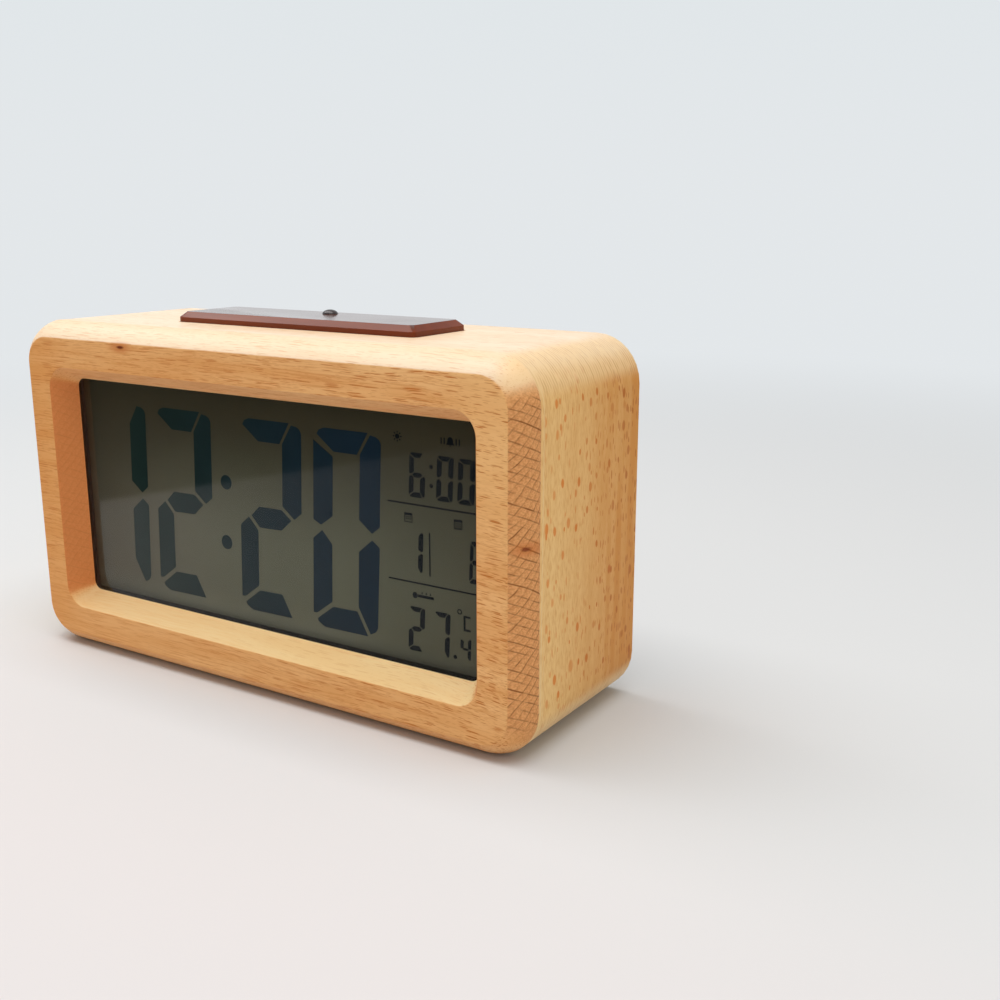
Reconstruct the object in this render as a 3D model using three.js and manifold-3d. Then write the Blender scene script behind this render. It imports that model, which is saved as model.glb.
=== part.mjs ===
// Table alarm clock in a beech case: a wooden frame and shell round a liquid crystal display, with a press
// plate on top and a plastic cover behind that holds the controls and three AAA cells.
// Millimetres, +Z up, front towards -Y, origin in the middle of the underside.
import * as THREE from "three";
import { mergeVertices } from "three/addons/utils/BufferGeometryUtils.js";
import Module from "manifold-3d";

const wasm = await Module();
wasm.setup();

// Beech case
const CASE_WIDTH = 135;
const CASE_HEIGHT = 76;
const CASE_DEPTH = 45; // frame included
const CASE_CORNER = 9.7; // radius of the outline
const CASE_WALL = 7;
const CASE_REAR_ROUND = 1; // round on the rear rim
const CAVITY_CORNER = 3;
const COVER_LEDGE = 2.5; // step that the rear cover sits on
const EAR_RADIUS = 8; // corner blocks that take the cover's screws
const EAR_SCREW_INSET = 3.2; // from the cavity's sides to a screw

// Beech front frame, glued to the shell
const FRAME_THICKNESS = 5.5;
const FRAME_EDGE_INSET = 3.5; // from the outline to the flat face
const FRAME_EDGE_CROWN = 0.6; // how far the sloping edge bulges
const FRAME_RIM = 0.5; // straight side left beside the seam
const FRAME_MARGIN = 10; // from the outline to the opening, on the face
const OPENING_SPLAY = 3; // how far the opening closes in towards the lens
const OPENING_CORNER = 5;
const WINDOW_CORNER = 2; // corner of the opening at the lens

// Display stack, from the lens backwards
const LENS_THICKNESS = 1.5;
const GASKET_THICKNESS = 0.8;
const GASKET_SETBACK = 1.2; // from the opening's edge out to the gasket
const LCD_GLASS = 1.3; // each of two sheets
const LCD_LEDGE = 3; // contact strip below the rear sheet
const BACKLIGHT_THICKNESS = 3;
const LED_LENGTH = 3.2;
const LED_DEPTH = 1.6;
const ZEBRA_HEIGHT = 2;
const TRAY_WALL = 2.1;
const TRAY_FLOOR = 1.6;
const STANDOFF_HEIGHT = 1.5;
const STANDOFF_RADIUS = 2.6;
const BOARD_THICKNESS = 1.6;
const BOARD_SCREW_INSET = 4.5;

// Parts on the main board
const CHIP_RADIUS = 6;
const CHIP_HEIGHT = 1.8;
const CRYSTAL_RADIUS = 1;
const CRYSTAL_LENGTH = 6;
const CRYSTAL_OFFSET = 12; // from the chip's middle

// Press plate on top, and what lies under it
const PLATE_LENGTH = 65;
const PLATE_DEPTH = 18.2;
const PLATE_WALL_SHOW = 1; // upright wall above the wood
const PLATE_BEVEL = 1.2;
const PLATE_CORNER = 1.2;
const PLATE_SKIN = 1.5;
const SNOOZE_TRAVEL = 0.8;
const LEG_WIDTH = 10;
const LUG_REACH = 1.5; // how far a leg hooks under the wood
const LUG_THICKNESS = 1.2;
const POST_RADIUS = 2;
const SNOOZE_SWITCH_X = 20;
const SENSOR_RADIUS = 1.5;
const SENSOR_SHOW = 0.9; // dome above the plate
const SENSOR_BODY = 4; // dome to flange
const SENSOR_FLANGE = 0.4;
const SENSOR_SETBACK = 4.5; // behind the plate's middle
const TOP_BOARD_DEPTH = 13;
const TOP_BOARD_LENGTH = 62;
const TOP_SCREW_X = 27;
const ARM_WIDTH = 6;
const ARM_HEIGHT = 3;

// Push switches and small boards
const SWITCH_SIDE = 6;
const SWITCH_BODY = 3.5;
const SWITCH_PLUNGER = 0.8;
const SWITCH_PLUNGER_RADIUS = 1.75;
const SMALL_BOARD = 1.2;
const BOARD_CORNER = 1;

// Rear cover and its controls
const COVER_THICKNESS = 2;
const COVER_RECESS = 0.8; // below the wooden rim
const PILLAR_RADIUS = 2;
const PILLAR_INSET = 4; // from the cavity's sides
const PILLAR_LOW = 15; // above the cavity's floor and below its ceiling
const CONTROL_PITCH = 17;
const REAR_BUTTON_WIDTH = 9;
const REAR_BUTTON_HEIGHT = 5;
const REAR_BUTTON_ROUND = 2.2;
const REAR_BUTTON_SHOW = 0.6;
const REAR_BUTTON_FLANGE = 1;
const REAR_TRAVEL = 0.5;
const REAR_BOARD_HEIGHT = 12;
const REAR_BOARD_SCREW = 8.5; // from the middle of the row
const SLIDER_SIDE = 2.6;
const SLIDER_SHOW = 0.5;
const SLIDER_TRAVEL = 3;
const SLIDE_SWITCH_WIDTH = 9;
const SLIDE_SWITCH_HEIGHT = 4;
const SLIDE_SWITCH_BODY = 3.4;
const BUZZER_RADIUS = 6;
const BUZZER_HEIGHT = 5.5;
const BUZZER_RING = 1.2;
const SOUND_HOLES = 6; // round a middle one
const SOUND_HOLE_RADIUS = 0.8;
const SOUND_HOLE_CIRCLE = 3.2;
const VENT_WIDTH = 1.2;
const VENT_HEIGHT = 9;
const VENT_PITCH = 3;
const VENT_COUNT = 5;
const BEAD_RADIUS = 1.2; // temperature sensor
const BEAD_LEAD = 5;

// Battery bay
const CELL_RADIUS = 5.25;
const CELL_LENGTH = 44.5;
const CELL_NUB_RADIUS = 1.9;
const CELL_NUB = 0.9;
const CELL_COUNT = 3;
const CELL_PITCH = 11.1;
const BAY_WALL = 2.2;
const BAY_FLOOR = 1.5;
const DOOR_LIP = 1.2; // how far the door laps the bay's walls
const DOOR_CORNER = 1.5;
const TONGUE_WIDTH = 8;
const TONGUE_THICKNESS = 1.2;
const TONGUE_REACH = 1.6;
const TONGUE_X = 15;
const GRIP_COUNT = 4;
const GRIP_LENGTH = 14;
const GRIP_WIDTH = 0.9;
const GRIP_HEIGHT = 0.4;
const THUMB_RADIUS = 6;
const THUMB_DEPTH = 1;
const CONTACT_THICKNESS = 0.4;
const CONTACT_WIDTH = 8;
const SPRING_LENGTH = 5;
const SPRING_WIRE = 0.6;
const SPRING_BASE_RADIUS = 3.2;
const SPRING_TIP_RADIUS = 2;
const SPRING_TURNS = 3.5;
const TAB_WIDTH = 2.4; // solder tabs of the end contacts
const TAB_SHOW = 2; // in front of the bay's floor

// Cables
const RIBBON_WIDTH = 10;
const RIBBON_THICKNESS = 0.5;
const RIBBON_BEND = 3; // straight run at each end
const LEAD_RADIUS = 0.6;
const LEAD_SIDESTEP = 4;

// Screws
const SCREW_RADIUS = 1.1;
const SCREW_HEAD_RADIUS = 2.2;
const SCREW_HEAD = 1.2;
const SCREW_SLOT = 0.6; // width of the cross recess
const COVER_SCREW_LENGTH = 10;
const BOARD_SCREW_LENGTH = 4;

// Clearances and facets
const FIT = 0.3; // sliding and drop-in fits
const SEAT = 0.1; // faces that rest on each other
const OVERSHOOT = 1; // cutters run past the surface they cut
const ARC_STEPS = 8; // per quarter turn of an outline
const HOLE_STEPS = 4; // per quarter turn of a small outline
const EDGE_STEPS = 5;
const ROUND_STEPS = 16;
const SCREW_STEPS = 12;
const WIRE_STEPS = 6; // round a wire
const TURN_STEPS = 12; // along each turn of a spring
const CABLE_STEPS = 12;

// Stations along Y, front to rear
const front = -CASE_DEPTH / 2;
const rear = CASE_DEPTH / 2;
const seam = front + FRAME_THICKNESS;
const lensBack = seam + LENS_THICKNESS;
const gasketBack = lensBack + GASKET_THICKNESS;
const lcdFront = gasketBack + SEAT;
const lcdBack = lcdFront + 2 * LCD_GLASS;
const backlightFront = lcdBack + SEAT;
const backlightBack = backlightFront + BACKLIGHT_THICKNESS;
const trayFloor = backlightBack + SEAT;
const trayBack = trayFloor + TRAY_FLOOR;
const boardFront = trayBack + STANDOFF_HEIGHT;
const boardBack = boardFront + BOARD_THICKNESS;
const earFront = boardBack + SCREW_HEAD + OVERSHOOT;
const coverFace = rear - COVER_RECESS;
const coverInner = coverFace - COVER_THICKNESS;
const ledge = coverInner - SEAT;
const plateMiddle = (seam + rear) / 2;

// Cavity of the shell, in X and Z
const cavityHalf = CASE_WIDTH / 2 - CASE_WALL;
const cavityFloor = CASE_WALL;
const cavityCeiling = CASE_HEIGHT - CASE_WALL;
const cavityWidth = 2 * cavityHalf;
const cavityHeight = cavityCeiling - cavityFloor;
const middle = CASE_HEIGHT / 2;

// Display sizes that follow from the cavity and the opening
const windowWidth = CASE_WIDTH - 2 * (FRAME_MARGIN + OPENING_SPLAY);
const windowHeight = CASE_HEIGHT - 2 * (FRAME_MARGIN + OPENING_SPLAY);
const pocketWidth = cavityWidth - 2 * (FIT + TRAY_WALL);
const pocketHeight = cavityHeight - 2 * (FIT + TRAY_WALL);
const lensWidth = pocketWidth - 2 * FIT;
const lensHeight = pocketHeight - 2 * FIT;
const lcdBottom = middle - lensHeight / 2;
const zebraTop = lcdBottom + FIT + ZEBRA_HEIGHT;

// Stack under the press plate, downwards
const plateTop = CASE_HEIGHT + PLATE_WALL_SHOW + PLATE_BEVEL;
const sensorY = plateMiddle + SENSOR_SETBACK;
const lugTop = cavityCeiling - FIT;
const lugBottom = lugTop - LUG_THICKNESS;
const switchHeight = SWITCH_BODY + SWITCH_PLUNGER;
const topBoardTop = lugBottom - SNOOZE_TRAVEL - SEAT - switchHeight;
const topBoardBottom = topBoardTop - SMALL_BOARD;
const armTop = topBoardBottom - SEAT;
const armBottom = armTop - ARM_HEIGHT;

// Battery bay, in X, Y and Z
const bayHalf = (CELL_LENGTH + SPRING_LENGTH + 3 * FIT) / 2 + CONTACT_THICKNESS + SEAT;
const bayBottom = cavityFloor + FIT + TONGUE_REACH + DOOR_LIP;
const bayTop = bayBottom + (CELL_COUNT - 1) * CELL_PITCH + 2 * (CELL_RADIUS + FIT);
const cellY = coverInner - FIT - CELL_RADIUS;
const bayFloor = cellY - CELL_RADIUS - FIT;
const doorBottom = bayBottom - DOOR_LIP;
const doorTop = bayTop + DOOR_LIP;
const doorHalf = bayHalf + DOOR_LIP;
const doorInner = coverInner + SEAT;
const contactInner = bayHalf - SEAT - CONTACT_THICKNESS;
const tabFront = bayFloor - BAY_FLOOR - TAB_SHOW;

// Row of controls above the bay
const rowZ = (bayTop + BAY_WALL + cavityCeiling) / 2;
const buttonFlangeBack = coverInner - FIT;
const buttonFlangeFront = buttonFlangeBack - REAR_BUTTON_FLANGE;
const rearBoardBack = buttonFlangeFront - REAR_TRAVEL - SEAT - switchHeight;
const rearBoardFront = rearBoardBack - SMALL_BOARD;
const buttonX = [-2, -1, 0, 1].map((step) => step * CONTROL_PITCH);
const sliderX = 2 * CONTROL_PITCH;
const rearBoardHalf = sliderX + SLIDE_SWITCH_WIDTH;

// Places beside the bay
const pillarX = cavityHalf - PILLAR_INSET;
const pillarZ = [cavityFloor + PILLAR_LOW, cavityCeiling - PILLAR_LOW];
const besideBay = (bayHalf + BAY_WALL + pillarX - PILLAR_RADIUS) / 2;
const bayMiddle = (bayBottom + bayTop) / 2;
const boardHalf = pillarX - PILLAR_RADIUS - OVERSHOOT;
const boardBottom = lcdBottom;
const boardTop = armBottom - OVERSHOOT;

// Finishes
const finishes = {
  face: [0xc98f55, 0.5, 0],
  shell: [0xdcb57c, 0.5, 0],
  clear: [0xe8eeee, 0.05, 0],
  black: [0x17171a, 0.7, 0],
  glass: [0x4a4d40, 0.15, 0],
  white: [0xe9eae4, 0.4, 0],
  brown: [0x5a2f22, 0.2, 0],
  cover: [0x3f2a20, 0.5, 0],
  board: [0x1f5c3a, 0.5, 0],
  steel: [0xb9bcc0, 0.3, 1],
  silver: [0xd5d7d8, 0.35, 1],
  sleeve: [0x2f5f86, 0.35, 0],
  rubber: [0x2b2b2d, 0.9, 0],
  red: [0xa8251f, 0.5, 0],
  grey: [0xb5b6b8, 0.5, 0],
};

// Rounded rectangle about a height, with equal counts of points whatever its size
function outline(width, height, corner, centre = middle, steps = ARC_STEPS) {
  const radius = Math.min(corner, width / 2, height / 2);
  const points = [];
  const turns = [[1, -1, -0.5], [1, 1, 0], [-1, 1, 0.5], [-1, -1, 1]];
  for (const [sideX, sideZ, start] of turns) {
    for (let step = 0; step <= steps; step++) {
      const angle = (start + (0.5 * step) / steps) * Math.PI;
      const x = sideX * (width / 2 - radius) + radius * Math.cos(angle);
      const z = centre + sideZ * (height / 2 - radius) + radius * Math.sin(angle);
      points.push(new THREE.Vector2(x, z));
    }
  }
  return points;
}

// An outline set upright at a depth, and laid flat at a height about a place on Y
const upright = (points, y) => points.map((p) => new THREE.Vector3(p.x, y, p.y));
const flat = (points, z, y) => points.map((p) => new THREE.Vector3(p.x, y + p.y, z));

// Surface over a run of equal rings: a closed run comes back to its first ring, an open one is capped
function skin(rings, closed = false) {
  const count = rings[0].length;
  const spans = closed ? rings.length : rings.length - 1;
  const index = [];
  for (let span = 0; span < spans; span++) {
    const here = span * count;
    const next = ((span + 1) % rings.length) * count;
    for (let i = 0; i < count; i++) {
      const j = (i + 1) % count;
      index.push(here + i, next + j, here + j, here + i, next + i, next + j);
    }
  }
  if (!closed) {
    const last = (rings.length - 1) * count;
    for (let i = 1; i < count - 1; i++) {
      index.push(0, i, i + 1, last, last + i + 1, last + i);
    }
  }
  const made = new THREE.BufferGeometry();
  made.setFromPoints(rings.flat());
  made.setIndex(index);
  return solid(made).volume() < 0 ? turnedOut(made) : made;
}

// The same surface with its faces turned round
function turnedOut(geometry) {
  geometry.setIndex([...geometry.index.array].reverse());
  return geometry;
}

// Closed geometry as a solid for cutting and joining, and back again
function solid(geometry) {
  const bare = geometry.clone();
  bare.deleteAttribute("normal");
  bare.deleteAttribute("uv");
  const merged = mergeVertices(bare);
  const vertProperties = merged.attributes.position.array;
  const triVerts = new Uint32Array(merged.index.array);
  return new wasm.Manifold(new wasm.Mesh({ numProp: 3, vertProperties, triVerts }));
}

function geometryOf(manifold) {
  const mesh = manifold.getMesh();
  const made = new THREE.BufferGeometry();
  made.setAttribute("position", new THREE.BufferAttribute(mesh.vertProperties, 3));
  made.setIndex(new THREE.BufferAttribute(mesh.triVerts, 1));
  return made;
}

function joined(first, ...others) {
  return geometryOf(others.reduce((sum, other) => sum.add(solid(other)), solid(first)));
}

function cut(first, ...cutters) {
  return geometryOf(cutters.reduce((left, cutter) => left.subtract(solid(cutter)), solid(first)));
}

// Plate between two depths, from an outline drawn in X and Z, with holes
function plate(points, from, to, holes = []) {
  const shape = new THREE.Shape(points);
  shape.holes = holes.map((hole) => new THREE.Path(hole));
  const made = new THREE.ExtrudeGeometry(shape, { depth: to - from, bevelEnabled: false });
  return made.rotateX(Math.PI / 2).translate(0, to, 0);
}

// Plate between two heights, from an outline drawn in X and Y, with holes
function layer(points, from, to, holes = []) {
  const shape = new THREE.Shape(points);
  shape.holes = holes.map((hole) => new THREE.Path(hole));
  return new THREE.ExtrudeGeometry(shape, { depth: to - from, bevelEnabled: false }).translate(0, 0, from);
}

// Box from corner to corner
function block([x0, y0, z0], [x1, y1, z1]) {
  const made = new THREE.BoxGeometry(x1 - x0, y1 - y0, z1 - z0);
  return made.translate((x0 + x1) / 2, (y0 + y1) / 2, (z0 + z1) / 2);
}

// Round bar along Y or along Z
function rodY(radius, x, z, from, to) {
  return new THREE.CylinderGeometry(radius, radius, to - from, ROUND_STEPS).translate(x, (from + to) / 2, z);
}

function rodZ(radius, x, y, from, to) {
  const made = new THREE.CylinderGeometry(radius, radius, to - from, ROUND_STEPS).rotateX(Math.PI / 2);
  return made.translate(x, y, (from + to) / 2);
}

// Points of a circle, for a round hole in a plate or the section of a wire
function circle(x, z, radius, count = ROUND_STEPS) {
  return Array.from({ length: count }, (_, i) => {
    const angle = (2 * Math.PI * i) / count;
    return new THREE.Vector2(x + radius * Math.cos(angle), z + radius * Math.sin(angle));
  });
}

// Profile turned about Z, from pairs of a radius and a height
function turned(profile, steps = ROUND_STEPS) {
  const points = profile.map(([radius, height]) => new THREE.Vector2(radius, height));
  return new THREE.LatheGeometry(points, steps).rotateX(Math.PI / 2);
}

// Quarter of an ellipse from its rim up to its crown, as pairs for a turned profile
function domed(radius, rise, foot) {
  return Array.from({ length: ARC_STEPS + 1 }, (_, i) => {
    const angle = (0.5 * Math.PI * i) / ARC_STEPS;
    return [i < ARC_STEPS ? radius * Math.cos(angle) : 0, foot + rise * Math.sin(angle)];
  });
}

const moved = (points, x, z) => points.map((p) => new THREE.Vector2(p.x + x, p.y + z));
const corners = (x, low, high) => [[-x, low], [x, low], [-x, high], [x, high]];

function frontFrame() {
  const rings = [];
  const slope = FRAME_THICKNESS - FRAME_RIM;
  const chord = Math.hypot(slope, FRAME_EDGE_INSET);
  for (let step = 0; step <= EDGE_STEPS; step++) {
    const along = step / EDGE_STEPS;
    const bulge = 4 * FRAME_EDGE_CROWN * along * (1 - along);
    const inset = FRAME_EDGE_INSET * (1 - along) - (bulge * slope) / chord;
    const depth = slope * along - (bulge * FRAME_EDGE_INSET) / chord;
    const points = outline(CASE_WIDTH - 2 * inset, CASE_HEIGHT - 2 * inset, CASE_CORNER - inset);
    rings.push(upright(points, front + depth));
  }
  rings.push(upright(outline(CASE_WIDTH, CASE_HEIGHT, CASE_CORNER), seam));
  rings.push(upright(outline(windowWidth, windowHeight, WINDOW_CORNER), seam));
  const openingWidth = CASE_WIDTH - 2 * FRAME_MARGIN;
  const openingHeight = CASE_HEIGHT - 2 * FRAME_MARGIN;
  rings.push(upright(outline(openingWidth, openingHeight, OPENING_CORNER), front));
  return skin(rings, true);
}

// Cavity outline whose corners are filled by the screw ears
function earedOutline() {
  const shape = new THREE.Shape();
  const ear = EAR_RADIUS;
  shape.moveTo(-cavityHalf + ear, cavityFloor);
  shape.absarc(cavityHalf, cavityFloor, ear, Math.PI, Math.PI / 2, true);
  shape.absarc(cavityHalf, cavityCeiling, ear, -Math.PI / 2, -Math.PI, true);
  shape.absarc(-cavityHalf, cavityCeiling, ear, 0, -Math.PI / 2, true);
  shape.absarc(-cavityHalf, cavityFloor, ear, Math.PI / 2, 0, true);
  return shape.getPoints(ARC_STEPS / 2);
}

const earScrews = corners(
  cavityHalf - EAR_SCREW_INSET,
  cavityFloor + EAR_SCREW_INSET,
  cavityCeiling - EAR_SCREW_INSET,
);

function caseBody() {
  const rings = [upright(outline(CASE_WIDTH, CASE_HEIGHT, CASE_CORNER), seam)];
  for (let step = 0; step <= EDGE_STEPS; step++) {
    const angle = (0.5 * Math.PI * step) / EDGE_STEPS;
    const inset = CASE_REAR_ROUND * (1 - Math.cos(angle));
    const depth = rear - CASE_REAR_ROUND * (1 - Math.sin(angle));
    const points = outline(CASE_WIDTH - 2 * inset, CASE_HEIGHT - 2 * inset, CASE_CORNER - inset);
    rings.push(upright(points, depth));
  }
  const rebateWidth = cavityWidth + 2 * COVER_LEDGE;
  const rebateHeight = cavityHeight + 2 * COVER_LEDGE;
  const slotLength = PLATE_LENGTH + 2 * FIT;
  const slotDepth = PLATE_DEPTH + 2 * FIT;
  const slot = moved(outline(slotLength, slotDepth, PLATE_CORNER + FIT, 0), 0, plateMiddle);
  return cut(
    skin(rings),
    plate(outline(cavityWidth, cavityHeight, CAVITY_CORNER), seam - OVERSHOOT, earFront),
    plate(earedOutline(), earFront - OVERSHOOT, rear),
    plate(outline(rebateWidth, rebateHeight, CAVITY_CORNER + COVER_LEDGE), ledge, rear + OVERSHOOT),
    layer(slot, cavityCeiling - OVERSHOOT, CASE_HEIGHT + OVERSHOOT),
    ...earScrews.map(([x, z]) =>
      rodY(SCREW_RADIUS + SEAT, x, z, coverFace - COVER_SCREW_LENGTH - SCREW_HEAD - FIT, rear),
    ),
  );
}

function lensGasket() {
  const openWidth = windowWidth + 2 * GASKET_SETBACK;
  const openHeight = windowHeight + 2 * GASKET_SETBACK;
  const inner = outline(openWidth, openHeight, WINDOW_CORNER);
  return plate(outline(lensWidth, lensHeight, WINDOW_CORNER), lensBack, gasketBack, [inner]);
}

// Two sheets of glass, the rear one shorter so that the contacts below it lie bare
function lcdPanel() {
  const half = lensWidth / 2;
  const top = middle + lensHeight / 2;
  const between = lcdFront + LCD_GLASS;
  return joined(
    block([-half, lcdFront, lcdBottom], [half, between, top]),
    block([-half, between, lcdBottom + LCD_LEDGE], [half, lcdBack, top]),
  );
}

function backlightPanel() {
  const half = lensWidth / 2;
  const top = middle + lensHeight / 2;
  const sheet = block([-half, backlightFront, zebraTop + FIT], [half, backlightBack, top]);
  const notch = LED_DEPTH + FIT;
  return cut(
    sheet,
    block(
      [half - notch, backlightFront - OVERSHOOT, middle - LED_LENGTH / 2 - FIT],
      [half + OVERSHOOT, backlightBack + OVERSHOOT, middle + LED_LENGTH / 2 + FIT],
    ),
  );
}

function backlightLed() {
  const half = lensWidth / 2;
  return block(
    [half - LED_DEPTH, backlightFront + FIT, middle - LED_LENGTH / 2],
    [half, backlightBack, middle + LED_LENGTH / 2],
  );
}

function zebraStrip() {
  const half = lensWidth / 2 - TRAY_WALL;
  return block(
    [-half, lcdFront + LCD_GLASS + SEAT, lcdBottom + FIT],
    [half, boardFront - SEAT, zebraTop],
  );
}

const boardScrews = corners(
  boardHalf - BOARD_SCREW_INSET,
  boardBottom + 2 * BOARD_SCREW_INSET,
  boardTop - BOARD_SCREW_INSET,
);
const topBoardRear = plateMiddle + TOP_BOARD_DEPTH / 2;
const topScrews = [-TOP_SCREW_X, TOP_SCREW_X];

// Tray that the glass and the light sheet drop into, with arms that carry the top board
function lcdHolder() {
  const outer = outline(cavityWidth - 2 * FIT, cavityHeight - 2 * FIT, CAVITY_CORNER);
  const tray = plate(outer, seam + SEAT, trayBack);
  const arms = topScrews.map((x) =>
    block([x - ARM_WIDTH / 2, trayFloor, armBottom], [x + ARM_WIDTH / 2, topBoardRear, armTop]),
  );
  const standoffs = boardScrews.map(([x, z]) => rodY(STANDOFF_RADIUS, x, z, trayFloor, boardFront - SEAT));
  const slotHalf = lensWidth / 2 - TRAY_WALL + FIT;
  return cut(
    joined(tray, ...arms, ...standoffs),
    plate(outline(pocketWidth, pocketHeight, FIT), seam - OVERSHOOT, trayFloor),
    block([-slotHalf, trayFloor - OVERSHOOT, lcdBottom], [slotHalf, boardFront, zebraTop + FIT]),
    ...boardScrews.map(([x, z]) =>
      rodY(SCREW_RADIUS + SEAT, x, z, boardBack - BOARD_SCREW_LENGTH - SEAT, boardBack),
    ),
    ...topScrews.map((x) =>
      rodZ(SCREW_RADIUS + SEAT, x, plateMiddle, topBoardTop - BOARD_SCREW_LENGTH - SEAT, topBoardTop),
    ),
  );
}

function mainBoard() {
  const points = outline(2 * boardHalf, boardTop - boardBottom, BOARD_CORNER, (boardTop + boardBottom) / 2);
  const holes = boardScrews.map(([x, z]) => circle(x, z, SCREW_RADIUS + SEAT));
  return plate(points, boardFront, boardBack, holes);
}

// Low dome of resin over the chip
function controllerChip() {
  return turned([[0, 0], ...domed(CHIP_RADIUS, CHIP_HEIGHT, 0)]);
}

function clockCrystal() {
  const can = new THREE.CylinderGeometry(CRYSTAL_RADIUS, CRYSTAL_RADIUS, CRYSTAL_LENGTH, ROUND_STEPS);
  return can.rotateZ(Math.PI / 2);
}

// Bevelled cap with a hollow underside, two legs that hook below the wood and two posts over the switches
function snoozeButton() {
  const ring = (inset, z) =>
    flat(outline(PLATE_LENGTH - 2 * inset, PLATE_DEPTH - 2 * inset, PLATE_CORNER, 0), z, plateMiddle);
  const capBottom = cavityCeiling + FIT;
  const bevelFoot = plateTop - PLATE_BEVEL;
  const ceiling = plateTop - PLATE_SKIN - PLATE_BEVEL / 2;
  const half = PLATE_LENGTH / 2;
  const deep = PLATE_DEPTH / 2 - PLATE_SKIN;
  const cap = skin([ring(0, capBottom), ring(0, bevelFoot), ring(PLATE_BEVEL, plateTop)]);
  const hollow = block(
    [-half + PLATE_SKIN, plateMiddle - deep, capBottom - OVERSHOOT],
    [half - PLATE_SKIN, plateMiddle + deep, ceiling],
  );
  const legs = [-1, 1].flatMap((side) => {
    const span = (a, b) => [Math.min(side * a, side * b), Math.max(side * a, side * b)];
    const [legIn, legOut] = span(half - PLATE_SKIN, half);
    const [lugIn, lugOut] = span(half - PLATE_SKIN, half + LUG_REACH);
    const near = plateMiddle - LEG_WIDTH / 2;
    const far = plateMiddle + LEG_WIDTH / 2;
    return [
      block([legIn, near, lugBottom], [legOut, far, bevelFoot]),
      block([lugIn, near, lugBottom], [lugOut, far, lugTop]),
    ];
  });
  const posts = [-SNOOZE_SWITCH_X, SNOOZE_SWITCH_X].map((x) =>
    rodZ(POST_RADIUS, x, plateMiddle, lugBottom, bevelFoot),
  );
  const bore = rodZ(SENSOR_RADIUS + FIT, 0, sensorY, capBottom, plateTop + OVERSHOOT);
  return cut(joined(cut(cap, hollow), ...legs, ...posts), bore);
}

const sensorTop = plateTop + SENSOR_SHOW;
const sensorFoot = sensorTop - SENSOR_BODY - SENSOR_FLANGE;

// Domed lamp-shaped sensor with a foot flange, and the tube that raises it off the board
function lightSensor() {
  const flange = SENSOR_RADIUS + FIT;
  const shoulder = SENSOR_BODY + SENSOR_FLANGE - SENSOR_RADIUS;
  const dome = domed(SENSOR_RADIUS, SENSOR_RADIUS, shoulder);
  return turned([[0, 0], [flange, 0], [flange, SENSOR_FLANGE], [SENSOR_RADIUS, SENSOR_FLANGE], ...dome]);
}

function sensorSpacer() {
  const outer = SENSOR_RADIUS + FIT;
  const inner = SENSOR_RADIUS / 2;
  const tall = sensorFoot - SEAT - topBoardTop;
  return turned([[inner, 0], [outer, 0], [outer, tall], [inner, tall], [inner, 0]]);
}

function topBoard() {
  const points = moved(outline(TOP_BOARD_LENGTH, TOP_BOARD_DEPTH, BOARD_CORNER, 0), 0, plateMiddle);
  const holes = topScrews.map((x) => circle(x, plateMiddle, SCREW_RADIUS + SEAT));
  return layer(points, topBoardBottom, topBoardTop, holes);
}

// Push switch standing on its board, plunger towards +Z
function pushSwitch() {
  const half = SWITCH_SIDE / 2;
  return joined(
    block([-half, -half, 0], [half, half, SWITCH_BODY]),
    rodZ(SWITCH_PLUNGER_RADIUS, 0, 0, SWITCH_BODY / 2, switchHeight),
  );
}

// Screw with its head's underside at the origin, pointing towards -Z
function screw(length) {
  const profile = [
    [0, -length],
    [SCREW_RADIUS, -length + SCREW_RADIUS],
    [SCREW_RADIUS, 0],
    [SCREW_HEAD_RADIUS, 0],
    [SCREW_HEAD_RADIUS, SCREW_HEAD / 2],
    [SCREW_HEAD_RADIUS / 2, SCREW_HEAD],
    [0, SCREW_HEAD],
  ];
  const reach = SCREW_HEAD_RADIUS / 2 - SEAT;
  const half = SCREW_SLOT / 2;
  const top = SCREW_HEAD + OVERSHOOT;
  return cut(
    turned(profile, SCREW_STEPS),
    block([-reach, -half, SCREW_HEAD / 2], [reach, half, top]),
    block([-half, -reach, SCREW_HEAD / 2], [half, reach, top]),
  );
}

const screwSeat = coverFace - SCREW_HEAD - SEAT; // bottom of a cover screw's counterbore

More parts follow.
